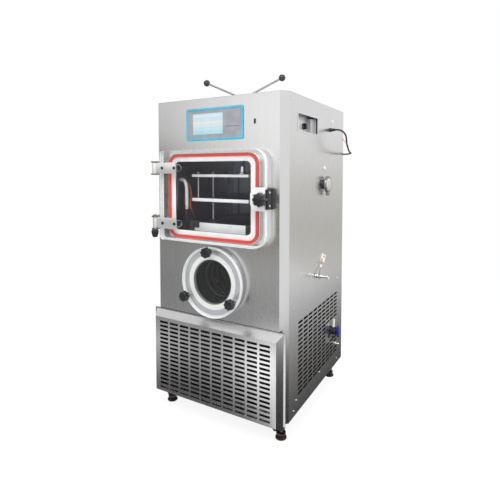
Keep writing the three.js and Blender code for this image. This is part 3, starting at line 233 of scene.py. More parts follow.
def hexagon(bm, across, start, end, origin, axis):
    """Hexagonal nut with chamfered corners."""
    nut = rod(bmesh.new(), across / 2, start, end, origin, axis, 6)
    soften(nut, 0.7)
    join_into(bm, nut)


def route(points, step=4.0):
    """Evenly spaced points on a centripetal Catmull-Rom curve through the given ones."""
    path = [Vector(p) for p in points]
    path = [2 * path[0] - path[1], *path, 2 * path[-1] - path[-2]]
    out = []
    for a, b, c, d in zip(path, path[1:], path[2:], path[3:]):
        knots = [0.0]
        for p, q in ((a, b), (b, c), (c, d)):
            knots.append(knots[-1] + math.sqrt((q - p).length))
        count = max(2, round((c - b).length / step))
        for i in range(count):
            t = knots[1] + (knots[2] - knots[1]) * i / count
            out.append(catmull(a, b, c, d, knots, t))
    out.append(path[-2].copy())
    return out


def catmull(a, b, c, d, k, t):
    """Point at knot value t between b and c."""
    def between(p, q, s, e):
        return p * ((e - t) / (e - s)) + q * ((t - s) / (e - s))
    ab, bc, cd = between(a, b, k[0], k[1]), between(b, c, k[1], k[2]), between(c, d, k[2], k[3])
    abc, bcd = between(ab, bc, k[0], k[2]), between(bc, cd, k[1], k[3])
    return between(abc, bcd, k[1], k[2])


def tube(bm, path, radius, sides=12):
    """Round rod along a path, closed at both ends; radius may be a number or one for each point."""
    radii = radius if isinstance(radius, list) else [radius] * len(path)
    normal = None
    rings = []
    for i, point in enumerate(path):
        tangent = (path[min(i + 1, len(path) - 1)] - path[max(i - 1, 0)]).normalized()
        if normal is None:
            normal = frame_of(tangent)[0]
        normal = (normal - tangent * normal.dot(tangent)).normalized()
        across = tangent.cross(normal)
        ring = []
        for k in range(sides):
            turn = 2 * math.pi * k / sides
            ring.append(bm.verts.new(point + radii[i] * (math.cos(turn) * normal + math.sin(turn) * across)))
        rings.append(ring)
    for ring, following in zip(rings, rings[1:]):
        for k in range(sides):
            n = (k + 1) % sides
            bm.faces.new((ring[k], ring[n], following[n], following[k]))
    bm.faces.new(list(reversed(rings[0])))
    bm.faces.new(rings[-1])
    return bm


def soften(bm, width, steps=2, angle=35):
    """Round every edge whose faces meet at more than an angle, as tumbling or moulding does."""
    clean(bm)
    limit = math.radians(angle)
    edges = [e for e in bm.edges if len(e.link_faces) == 2 and e.calc_face_angle(0) > limit]
    if edges:
        bmesh.ops.bevel(bm, geom=edges, offset=width, segments=steps, profile=0.5, affect="EDGES",
                        clamp_overlap=True)


def star_rings(bm, centre, axis, radius, depth, lobes, rings, segments_per_lobe=12, scallop=0.17):
    """Star knob body: wide round lobes with narrow hollows, lofted through (scale, along) rings."""
    axis = axis.normalized()
    first, second = frame_of(axis)
    count = lobes * segments_per_lobe
    loops = []
    for scale, along in rings:
        loop = []
        for i in range(count):
            turn = 2 * math.pi * i / count
            hollow = (1 - math.cos(lobes * turn)) / 2
            reach = radius * (1 - scallop * hollow ** 1.6) * scale
            loop.append(bm.verts.new(
                Vector(centre) + axis * (along * depth)
                + reach * (math.cos(turn) * first + math.sin(turn) * second)))
        loops.append(loop)
    for loop, following in zip(loops, loops[1:]):
        for i in range(count):
            j = (i + 1) % count
            bm.faces.new((loop[i], loop[j], following[j], following[i]))
    for loop, end in ((loops[0], rings[0][1]), (loops[-1], rings[-1][1])):
        tip = bm.verts.new(Vector(centre) + axis * (end * depth))
        for i in range(count):
            bm.faces.new((loop[i], loop[(i + 1) % count], tip))
    return bm


def put(name, data):
    """New object of some data, in the scene."""
    obj = bpy.data.objects.new(name, data)
    bpy.context.scene.collection.objects.link(obj)
    return obj


def settle(name, bm):
    """Mesh in the row frame from an editable one in cabinet millimetres, which it frees."""
    mesh = bpy.data.meshes.new(name)
    for vertex in bm.verts:
        vertex.co = to_row(vertex.co)
    bm.to_mesh(mesh)
    bm.free()
    return mesh


def clean(bm, distance=1e-4):
    """Merge doubles and turn every face outwards."""
    bmesh.ops.remove_doubles(bm, verts=bm.verts, dist=distance)
    bmesh.ops.recalc_face_normals(bm, faces=bm.faces)


def mark_faces(bm, chosen, slot=1):
    """Give the faces that a test picks another of the piece's finishes."""
    clean(bm)
    for face in bm.faces:
        if chosen(face):
            face.material_index = slot


def from_mesh(mesh):
    """Editable copy of a mesh."""
    bm = bmesh.new()
    bm.from_mesh(mesh)
    return bm


def join_into(bm, other):
    """Add another editable mesh to the first and free it."""
    mesh = bpy.data.meshes.new("part")
    other.to_mesh(mesh)
    other.free()
    bm.from_mesh(mesh)
    bpy.data.meshes.remove(mesh)


def plain_mesh(name, obj):
    """Evaluated result of an object's modifiers as a new plain mesh."""
    bpy.context.view_layer.update()
    depsgraph = bpy.context.evaluated_depsgraph_get()
    mesh = bpy.data.meshes.new_from_object(obj.evaluated_get(depsgraph), depsgraph=depsgraph)
    mesh.name = name
    return mesh


def piece(name, bm, body, finish, replaces=(), sharp=35):
    """Finished object from a mesh in cabinet millimetres, riding on its body.

    Finish is a key of finish_of, or one for each material slot."""
    clean(bm)
    mesh = settle(name, bm)
    for key in (finish,) if isinstance(finish, str) else finish:
        mesh.materials.append(finish_of(key))
    mesh.polygons.foreach_set("use_smooth", [True] * len(mesh.polygons))
    mesh.set_sharp_from_angle(angle=math.radians(sharp))
    obj = put(name, mesh)
    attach(obj, body)
    if replaces:
        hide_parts(*replaces)
    return obj


# ------------ materials


def linear(code):
    """A hex sRGB colour as linear RGBA."""
    channels = [int(code[i:i + 2], 16) / 255 for i in (1, 3, 5)]
    return (*[c / 12.92 if c <= 0.04045 else ((c + 0.055) / 1.055) ** 2.4 for c in channels], 1.0)


def grey(value):
    """Linear grey."""
    return (value, value, value, 1.0)


def add(tree, kind, settings=None, inputs=None, stops=()):
    """A node with its attributes set, its inputs filled or linked and its (position, colour) stops."""
    node = tree.nodes.new(kind)
    for key, value in (settings or {}).items():
        setattr(node, key, value)
    for key, value in (inputs or {}).items():
        if isinstance(value, bpy.types.NodeSocket):
            tree.links.new(value, node.inputs[key])
        else:
            node.inputs[key].default_value = value
    for _ in stops[2:]:
        node.color_ramp.elements.new(0.5)
    for i, (position, colour) in enumerate(stops):
        element = node.color_ramp.elements[i]
        element.position, element.color = position, colour
    return node


def material_maker(build):
    """Turn a function that adds nodes and returns a surface into one that makes a named material once."""
    def make(name, *settings, **more):
        material = bpy.data.materials.get(name)
        if material:
            return material
        material = bpy.data.materials.new(name)
        material.use_nodes = True
        tree = material.node_tree
        tree.nodes.clear()
        surface = build(tree, *settings, **more)
        add(tree, "ShaderNodeOutputMaterial", inputs={"Surface": surface})
        return material
    return make


def any_ray(tree, *kinds):
    """1 for a ray of any of these kinds, and else 0."""
    light = add(tree, "ShaderNodeLightPath")
    found = light.outputs[kinds[0]]
    for kind in kinds[1:]:
        found = add(tree, "ShaderNodeMath", {"operation": "MAXIMUM"}, {
            0: found, 1: light.outputs[kind]}).outputs["Value"]
    return found


def varied_skin(tree, code, shades, clouds, wear, roughness, grain, relief, inputs):
    """Surface whose colour follows clouds, whose roughness follows wear and whose bump follows grain.

    Shades are the darkest and lightest share of the colour and what the lightest has on top."""
    darkest, lightest, lift = shades
    base = linear(code)[:3]
    dark = (*[c * darkest for c in base], 1.0)
    light = (*[min(1.0, c * lightest + lift) for c in base], 1.0)
    rough = add(tree, "ShaderNodeMapRange", inputs={
        "Value": wear, "From Min": 0.3, "From Max": 0.7, "To Min": roughness[0], "To Max": roughness[1]})
    bump = add(tree, "ShaderNodeBump", inputs={"Height": grain, "Strength": relief[0], "Distance": relief[1]})
    tone = add(tree, "ShaderNodeValToRGB", inputs={0: clouds}, stops=[(0.35, dark), (0.65, light)])
    return add(tree, "ShaderNodeBsdfPrincipled", inputs={
        "Base Color": tone.outputs["Color"],
        "Roughness": rough.outputs["Result"], "Normal": bump.outputs["Normal"], **inputs}).outputs["BSDF"]


@material_maker
def brushed_stainless(tree, code, along, roughness=0.27, contrast=0.02):
    """Number 4 brushed sheet: fine parallel grit lines that draw reflections out across them.

    Real grit lines are about 0.1 mm wide; here they are 1 mm, as fine as shows."""
    place = add(tree, "ShaderNodeTexCoord").outputs["Object"]
    noises = []
    for fine, long, detail, broken in ((1000.0, 9.0, 3.0, 0.6), (60.0, 2.5, 2.0, 0.5)):
        scale = [fine] * 3
        scale[along] = long
        lines = add(tree, "ShaderNodeMapping", inputs={"Vector": place, "Scale": scale})
        noises.append(add(tree, "ShaderNodeTexNoise", inputs={
            "Vector": lines.outputs["Vector"], "Scale": 1.0, "Detail": detail, "Roughness": broken}))
    grit, streaks = [noise.outputs["Fac"] for noise in noises]
    clouds = add(tree, "ShaderNodeTexNoise", inputs={"Vector": place, "Scale": 5.0, "Detail": 3.0})
    both = add(tree, "ShaderNodeMath", {"operation": "ADD"}, {0: streaks, 1: clouds.outputs["Fac"]})
    tone = add(tree, "ShaderNodeMath", {"operation": "MULTIPLY"}, {0: both.outputs["Value"], 1: 0.5})
    return varied_skin(tree, code, (1 - contrast, 1 + contrast, 0), tone.outputs["Value"], grit,
                       (roughness - 0.02, roughness + 0.02), grit, (0.012, 0.0004), {"Metallic": 1.0})


def grain_and_clouds(tree, grain_mm, cloud_scale, cloud_detail):
    """Fine grain of a real size, and the wide cloudiness over it."""
    place = add(tree, "ShaderNodeTexCoord").outputs["Object"]
    noises = []
    for scale, detail in ((1.0 / (grain_mm * MM), 2.0), (cloud_scale, cloud_detail)):
        noises.append(add(tree, "ShaderNodeTexNoise", inputs={
            "Vector": place, "Scale": scale, "Detail": detail}).outputs["Fac"])
    return noises


@material_maker
def grained_metal(tree, code, roughness, grain_mm, metallic=1.0, depth=0.00008, contrast=0.06):
    """Machined, blasted or polished metal with an even grain and a little cloudiness."""
    grain, clouds = grain_and_clouds(tree, grain_mm, 22.0, 2.0)
    return varied_skin(tree, code, (1 - contrast, 1 + contrast, 0), clouds, grain,
                       (max(0.03, roughness - 0.05), roughness + 0.06), grain, (0.3, depth),
                       {"Metallic": metallic})


@material_maker
def moulded(tree, code, roughness, grain_mm=0.6, depth=0.00005, ior=1.5, coat=0.0):
    """Moulded plastic or rubber: a fine even skin with slightly cloudy gloss."""
    grain, clouds = grain_and_clouds(tree, grain_mm, 35.0, 3.0)
    return varied_skin(tree, code, (0.9, 1.08, 0.002), clouds, clouds,
                       (max(0.04, roughness - 0.05), roughness + 0.05), grain, (0.25, depth),
                       {"IOR": ior, "Coat Weight": coat, "Coat Roughness": 0.08})


@material_maker
def clear_acrylic(tree, code):
    """Cast acrylic, polished: clear, with the faintest ripple; light passes through to the chamber."""
    place = add(tree, "ShaderNodeTexCoord").outputs["Object"]
    ripple = add(tree, "ShaderNodeTexNoise", inputs={"Vector": place, "Scale": 9.0, "Detail": 1.0})
    bump = add(tree, "ShaderNodeBump", inputs={
        "Height": ripple.outputs["Fac"], "Strength": 0.05, "Distance": 0.0005})
    glass = add(tree, "ShaderNodeBsdfPrincipled", inputs={
        "Base Color": linear(code), "Roughness": 0.02, "IOR": 1.3, "Transmission Weight": 1.0,
        "Normal": bump.outputs["Normal"]})
    clear = add(tree, "ShaderNodeBsdfTransparent", inputs={"Color": linear(code)})
    return add(tree, "ShaderNodeMixShader", inputs={
        0: any_ray(tree, "Is Shadow Ray", "Is Diffuse Ray"), 1: glass.outputs["BSDF"],
        2: clear.outputs["BSDF"]}).outputs["Shader"]


@material_maker
def sawn_acrylic_with_painted_glow(tree, code):
    """Sawn and scraped acrylic edge: frosted white, with a small painted glow, an emission that stands in for
    light carried inside the sheet.
    """
    place = add(tree, "ShaderNodeTexCoord").outputs["Object"]
    marks = add(tree, "ShaderNodeTexNoise", inputs={"Vector": place, "Scale": 400.0, "Detail": 2.0})
    tone = add(tree, "ShaderNodeValToRGB", inputs={0: marks.outputs["Fac"]}, stops=[
        (0.3, linear("#d2d5d4")), (0.7, linear(code))])
    # The emission is a painted glow: the sawn edge is no lamp.
    return add(tree, "ShaderNodeBsdfPrincipled", inputs={
        "Base Color": tone.outputs["Color"],
        "Roughness": 0.45, "IOR": 1.49, "Emission Color": linear(code),
        "Emission Strength": 0.15}).outputs["BSDF"]


@material_maker
def braid(tree, code):
    """Woven stainless braid over a hose: two crossed sets of 1.5 mm strands."""
    place = add(tree, "ShaderNodeTexCoord").outputs["Object"]
    waves = []
    for side in (1.0, -1.0):
        lean = add(tree, "ShaderNodeMapping", inputs={"Vector": place, "Scale": (side, 1.0, 1.0)})
        waves.append(add(tree, "ShaderNodeTexWave", {"wave_type": "BANDS", "bands_direction": "DIAGONAL"}, {
            "Vector": lean.outputs["Vector"], "Scale": 100.0, "Distortion": 0.3}).outputs["Fac"])
    weave = add(tree, "ShaderNodeMath", {"operation": "MULTIPLY"}, {
        0: waves[0], 1: waves[1]}).outputs["Value"]
    bump = add(tree, "ShaderNodeBump", inputs={"Height": weave, "Strength": 0.5, "Distance": 0.0004})
    tone = add(tree, "ShaderNodeValToRGB", inputs={0: weave}, stops=[
        (0.0, linear("#c4c5c7")), (0.6, linear(code))])
    return add(tree, "ShaderNodeBsdfPrincipled", inputs={
        "Base Color": tone.outputs["Color"],
        "Metallic": 0.15, "Roughness": 0.35, "Normal": bump.outputs["Normal"]}).outputs["BSDF"]


@material_maker
def finned_core(tree):
    """Condenser face: thin aluminium fins every 2 mm, grey, darker between them and mottled by a dust noise.
    """
    place = add(tree, "ShaderNodeTexCoord").outputs["Object"]
    fins = add(tree, "ShaderNodeTexWave", {"wave_type": "BANDS", "bands_direction": "X"}, {
        "Vector": place, "Scale": 160.0, "Distortion": 0.2}).outputs["Fac"]
    dust = add(tree, "ShaderNodeTexNoise", inputs={"Vector": place, "Scale": 30.0, "Detail": 4.0})
    mixed = add(tree, "ShaderNodeMath", {"operation": "MULTIPLY"}, {0: fins, 1: dust.outputs["Fac"]})
    bump = add(tree, "ShaderNodeBump", inputs={"Height": fins, "Strength": 0.6, "Distance": 0.001})
    tone = add(tree, "ShaderNodeValToRGB", inputs={0: mixed.outputs["Value"]}, stops=[
        (0.0, linear("#060607")), (0.7, linear("#37383a"))])
    return add(tree, "ShaderNodeBsdfPrincipled", inputs={
        "Base Color": tone.outputs["Color"],
        "Metallic": 0.4, "Roughness": 0.6, "Normal": bump.outputs["Normal"]}).outputs["BSDF"]


@material_maker
def lit_screen(tree, low, high):
    """Colour display, lit: pale blue page with a header and rows of lighter cells, no lettering."""
    place = add(tree, "ShaderNodeTexCoord").outputs["Object"]
    centre = to_row((low + high) / 2)
    size = (high - low) * MM
    local = add(tree, "ShaderNodeMapping", {"vector_type": "TEXTURE"}, {
        "Vector": place, "Location": (centre.x - size.x / 2, 0.0, centre.z - size.z / 2),
        "Scale": (size.x, 1.0, size.z)})
    parts = add(tree, "ShaderNodeSeparateXYZ", inputs={0: local.outputs["Vector"]})
    page = [(0.0, "#b4e4f2"), (0.45, "#e2eef0"), (0.6, "#f0efe6"), (0.72, "#cfe9f5"), (0.9, "#e9f4fb"),
            (1.0, "#c9e4f3")]
    glow = add(tree, "ShaderNodeValToRGB", inputs={0: parts.outputs["Z"]}, stops=[
        (position, linear(code)) for position, code in page])
    flat = add(tree, "ShaderNodeCombineXYZ", inputs={"X": parts.outputs["X"], "Y": parts.outputs["Z"]})
    cells = add(tree, "ShaderNodeTexBrick", {"offset": 0.0}, {
        "Vector": flat.outputs["Vector"], "Scale": 1.0, "Color1": linear("#f4fafc"),
        "Color2": linear("#e2f2f8"), "Mortar": linear("#b5dcec"), "Mortar Size": 0.012,
        "Brick Width": 0.31, "Row Height": 0.16})
    picture = add(tree, "ShaderNodeMix", {"data_type": "RGBA", "blend_type": "MULTIPLY"}, {
        "Factor": 0.35, 6: glow.outputs["Color"], 7: cells.outputs["Color"]})
    return add(tree, "ShaderNodeBsdfPrincipled", inputs={
        "Base Color": grey(0.02), "Roughness": 0.12, "Emission Color": picture.outputs[2],
        "Emission Strength": 0.9}).outputs["BSDF"]


def finish_of(key):
    """The material for one of the machine's finishes, made once."""
    colours = bpy.context.scene.dryer_finish
    makers = {
        "sheet": lambda: brushed_stainless("brushed_stainless_upright", colours.steel, 2),
        "lid": lambda: brushed_stainless("brushed_stainless_lid", colours.steel, 1),
        "satin": lambda: grained_metal("satin_stainless", "#8d8d90", 0.3, 0.8),
        # Frosted margins and sawn edges share the sawn-acrylic finish and its painted glow.
        "frost": lambda: sawn_acrylic_with_painted_glow("frosted_acrylic", "#e0e1df"),
        "trap_rim": lambda: grained_metal("turned_stainless", "#b8b8bc", 0.34, 0.7, metallic=0.5),
        "trap_black": lambda: moulded("cold_trap_black", "#101013", 0.5, 4.0, 0.000005),
        # Darker satin stainless: painted shade on the far guide rods, the ram's lower part and the switch
        # recess; also used for the hinge bolts.
        "dark_satin": lambda: grained_metal("satin_stainless_unlit", "#55555b", 0.3, 0.9),
        # Black for the sheets' inner faces, slot walls and cover seam strips: painted shade.
        "lining": lambda: moulded("black_foam_lining", "#0a0a0b", 0.9, 1.4, 0.0003),
        # Near-white, not metal: a painted highlight that stands in for bright steel on the chamber flange and
        # latch plate.
        "flange": lambda: grained_metal("bead_blasted_flange", "#fbfbfa", 0.45, 0.6, metallic=0.0),
        "liner": lambda: grained_metal("chamber_liner_steel", "#9a9aa6", 0.3, 0.9),
        # Near-white, hardly metallic: painted light on the shelves' upright faces and the first row of rods.
        "shelf": lambda: grained_metal("polished_shelf_steel", "#f6f6f5", 0.3, 0.7, metallic=0.1),
        "aluminium": lambda: grained_metal(
            "blasted_aluminium", "#dededc", 0.36, 0.5, metallic=0.6, depth=0.00015),
        "chrome": lambda: grained_metal(
            "polished_stainless", "#e2e2e3", 0.1, 1.5, depth=0.00002, contrast=0.02),
        "acrylic": lambda: clear_acrylic("cast_acrylic", "#fdfefe"),
        "acrylic_edge": lambda: sawn_acrylic_with_painted_glow("sawn_acrylic_edge", "#fbfcfc"),
        "red_seal": lambda: moulded("red_silicone", colours.gasket, 0.6, 0.8, ior=1.05),
        "white_seal": lambda: moulded("white_silicone", "#f1f0ee", 0.4, 0.8),
        "knob": lambda: moulded("black_phenolic", "#040405", 0.16, 0.7, ior=1.17, coat=0.1),
        "rubber": lambda: moulded("black_rubber", "#0c0c0d", 0.62, 0.5, 0.0001, ior=1.3),
        "blue": lambda: moulded("blue_nylon", colours.handle, 0.32, 0.6),
        "bezel": lambda: moulded("teal_abs", colours.bezel, 0.35, 0.5),
        "bezel_face": lambda: moulded("grey_membrane", "#9c9ca4", 0.4, 0.4),
        "dark_line": lambda: moulded("dark_ink", "#4b4c55", 0.5, 0.5),
        "enamel": lambda: moulded("black_enamel", "#080809", 0.26, 1.0, ior=1.22),
        "red_plastic": lambda: moulded("red_abs", "#2c0b0a", 0.4, 0.6),
        "red_tie": lambda: moulded("red_nylon", "#e04640", 0.4, 0.6),
        "orange_wire": lambda: moulded("orange_ptfe_wire", "#c8562a", 0.4, 0.4),
        "white_plastic": lambda: moulded("white_nylon", "#efefed", 0.42, 0.6),
        "grey_plastic": lambda: moulded("grey_abs", "#c2c3c8", 0.42, 0.5),
        "card": lambda: moulded("white_card", "#e9e9e6", 0.7, 0.7),
        "orange_print": lambda: moulded("orange_print", "#d98a3a", 0.6, 0.7),
        "hose": lambda: braid("braided_stainless", "#fdfdfc"),
        "core": lambda: finned_core("finned_aluminium"),
        "display": lambda: lit_screen("lit_display", *span("panel_screen")),
    }
    return makers[key]()


def dress(node, key):
    """Give a carried-over CAD node its finish."""
    obj = frame["nodes"][node]
    obj.data.materials.clear()
    obj.data.materials.append(finish_of(key))


# ------------ geometry nodes


def socket_id(tree, name):
    """Identifier of a group input, which is what a modifier is set by."""
    for item in tree.interface.items_tree:
        if item.item_type == "SOCKET" and item.in_out == "INPUT" and item.name == name:
            return item.identifier
    raise KeyError(name)


def repeat_tree():
    """Puts one shape on every point, turned to the point's facing, and joins the copies."""
    tree = bpy.data.node_groups.get("repeat_on_points")
    if tree:
        return tree
    tree = bpy.data.node_groups.new("repeat_on_points", "GeometryNodeTree")
    inputs = {"Points": "Geometry", "Shape": "Object", "Finish": "Material", "Weld": "Float"}
    for name, kind in inputs.items():
        tree.interface.new_socket(name, in_out="INPUT", socket_type="NodeSocket" + kind)
    tree.interface.new_socket("Result", in_out="OUTPUT", socket_type="NodeSocketGeometry")
    given = add(tree, "NodeGroupInput")
    facing = add(tree, "GeometryNodeInputNamedAttribute", {"data_type": "FLOAT_VECTOR"}, {"Name": "facing"})
    turn = add(tree, "FunctionNodeAlignRotationToVector", {"axis": "Z"}, {
        "Vector": facing.outputs["Attribute"]})
    shape = add(tree, "GeometryNodeObjectInfo", inputs={"Object": given.outputs["Shape"]})
    copies = add(tree, "GeometryNodeInstanceOnPoints", inputs={
        "Points": given.outputs["Points"], "Instance": shape.outputs["Geometry"],
        "Rotation": turn.outputs["Rotation"]})
    real = add(tree, "GeometryNodeRealizeInstances", inputs={"Geometry": copies.outputs["Instances"]})
    weld = add(tree, "GeometryNodeMergeByDistance", inputs={
        "Geometry": real.outputs["Geometry"], "Distance": given.outputs["Weld"]})
    finish = add(tree, "GeometryNodeSetMaterial", inputs={
        "Geometry": weld.outputs["Geometry"], "Material": given.outputs["Finish"]})
    add(tree, "NodeGroupOutput", inputs={"Result": finish.outputs["Geometry"]})
    return tree


def repeated(name, shape, places, finish, weld=0.0):
    """Plain mesh of one shape repeated at (point, facing) places, all in cabinet millimetres."""
    points = bpy.data.meshes.new(name + "_points")
    points.from_pydata([tuple(p) for p, _ in places], [], [])
    facing = points.attributes.new("facing", "FLOAT_VECTOR", "POINT")
    facing.data.foreach_set("vector", [c for _, f in places for c in f])
    source_mesh = bpy.data.meshes.new(name + "_shape")
    shape.to_mesh(source_mesh)
    shape.free()
    holder, source = put(points.name, points), put(source_mesh.name, source_mesh)
    tree = repeat_tree()
    modifier = holder.modifiers.new("Repeat", "NODES")
    modifier.node_group = tree
    for socket, value in (("Shape", source), ("Finish", finish_of(finish)), ("Weld", weld)):
        modifier[socket_id(tree, socket)] = value
    mesh = plain_mesh(name, holder)
    holder.modifiers.remove(modifier)
    for obj in (holder, source):
        bpy.data.objects.remove(obj)
    return mesh


def screws(name, places, body, radius, finish="chrome"):
    """Cap screws at (point, facing) places."""
    shape = lathe(bmesh.new(), [
        (0, -0.5), (radius, -0.5), (radius, radius * 0.35), (radius * 0.8, radius * 0.62),
        (radius * 0.48, radius * 0.66), (radius * 0.45, radius * 0.25), (0, radius * 0.2),
    ], (0, 0, 0), UP, 14)
    return piece(name, from_mesh(repeated(name, shape, places, finish)), body, finish)


# ------------ settings


class DryerFinish(bpy.types.PropertyGroup):
    """Colours a user would change, as sRGB hex codes"""

    steel: StringProperty(
        name="Sheet steel", description="Colour of the brushed cabinet sheet", default="#d2d2d2")
    gasket: StringProperty(
        name="Gasket", description="Colour of the chamber's silicone seal", default="#ea1204")
    handle: StringProperty(
        name="Drain handle", description="Colour of the butterfly handle", default="#12128f")
    bezel: StringProperty(
        name="Bezel", description="Colour of the control panel's frame", default="#4fb8d4")


class DryerGrille(bpy.types.PropertyGroup):
    """Air slots punched in the cover and the side panels, in millimetres"""

    slot_length: FloatProperty(
        name="Slot length", description="Length of one air slot", default=43.0, min=5.0)
    slot_height: FloatProperty(
        name="Slot height", description="Height of one air slot", default=9.0, min=2.0)
    pitch_along: FloatProperty(
        name="Column pitch", description="Distance between columns", default=51.4, min=10.0)
    pitch_up: FloatProperty(
        name="Row pitch", description="Distance between rows", default=16.85, min=4.0)
    rows: IntProperty(name="Rows", description="Rows of slots", default=17, min=1)
    front_columns: IntProperty(
        name="Front columns", description="Columns in the lower cover", default=10, min=1)
    side_columns: IntProperty(
        name="Side columns", description="Columns in a side panel", default=9, min=1)
    front_bottom: FloatProperty(
        name="Lowest front row", description="Height of the cover's lowest row", default=98.5)
    side_bottom: FloatProperty(
        name="Lowest side row", description="Height of a side panel's lowest row", default=147.5)
    side_start: FloatProperty(
        name="First side column", description="Front end of the first side column", default=110.0)


class DryerStage(bpy.types.PropertyGroup):
    """Camera and light"""

    lens: FloatProperty(
        name="Lens", description="Focal length", default=29.7, min=10.0, subtype="DISTANCE_CAMERA")
    yaw: FloatProperty(
        name="Yaw", description="Turn of the camera from straight ahead",
        default=math.radians(29.78), subtype="ANGLE")
    pitch: FloatProperty(
        name="Pitch", description="How far the camera looks down",
        default=math.radians(2.69), subtype="ANGLE")
    key: FloatProperty(
        name="Key light", description="Power of the large overhead light", default=38.0, subtype="POWER")
    fill: FloatProperty(
        name="Fill light", description="Power of the side light", default=12.0, subtype="POWER")


# ------------ stage

SHOWN_RAYS = ("Is Camera Ray", "Is Transmission Ray", "Is Glossy Ray")


@material_maker
def studio_floor(tree):
    """White where it is seen or mirrored, with the machine's shadow, and pale grey to other light."""
    paint = add(tree, "ShaderNodeBsdfDiffuse", inputs={"Color": grey(0.8)})
    shadowed = add(tree, "ShaderNodeBsdfDiffuse", inputs={"Color": grey(0.2)})
    glow = add(tree, "ShaderNodeEmission", inputs={"Color": grey(1.0), "Strength": 0.88})
    shown = add(tree, "ShaderNodeAddShader", inputs={0: glow.outputs[0], 1: shadowed.outputs[0]})
    return add(tree, "ShaderNodeMixShader", inputs={
        0: any_ray(tree, *SHOWN_RAYS), 1: paint.outputs[0], 2: shown.outputs[0]}).outputs[0]


@material_maker
def toned_card(tree, along, up):
    """Glow whose tone is the product of two lists of stops over the card's own map.

    A stop is a position, a brightness and, where the card is warm there, the share of blue it lacks."""
    place = add(tree, "ShaderNodeUVMap", {"uv_map": "card"})
    parts = add(tree, "ShaderNodeSeparateXYZ", inputs={0: place.outputs["UV"]})
    tones = []
    for axis, stops in (("X", along), ("Y", up)):
        colours = []
        for at, value, *warmth in stops:
            warm = warmth[0] if warmth else 0
            colours.append((at, (value / 2, value / 2 * (1 - warm / 3), value / 2 * (1 - warm), 1.0)))
        tones.append(add(tree, "ShaderNodeValToRGB", inputs={0: parts.outputs[axis]}, stops=colours))
    tone = add(tree, "ShaderNodeVectorMath", {"operation": "MULTIPLY"}, {
        0: tones[0].outputs["Color"], 1: tones[1].outputs["Color"]})
    return add(tree, "ShaderNodeEmission", inputs={
        "Color": tone.outputs["Vector"], "Strength": 4.0}).outputs[0]


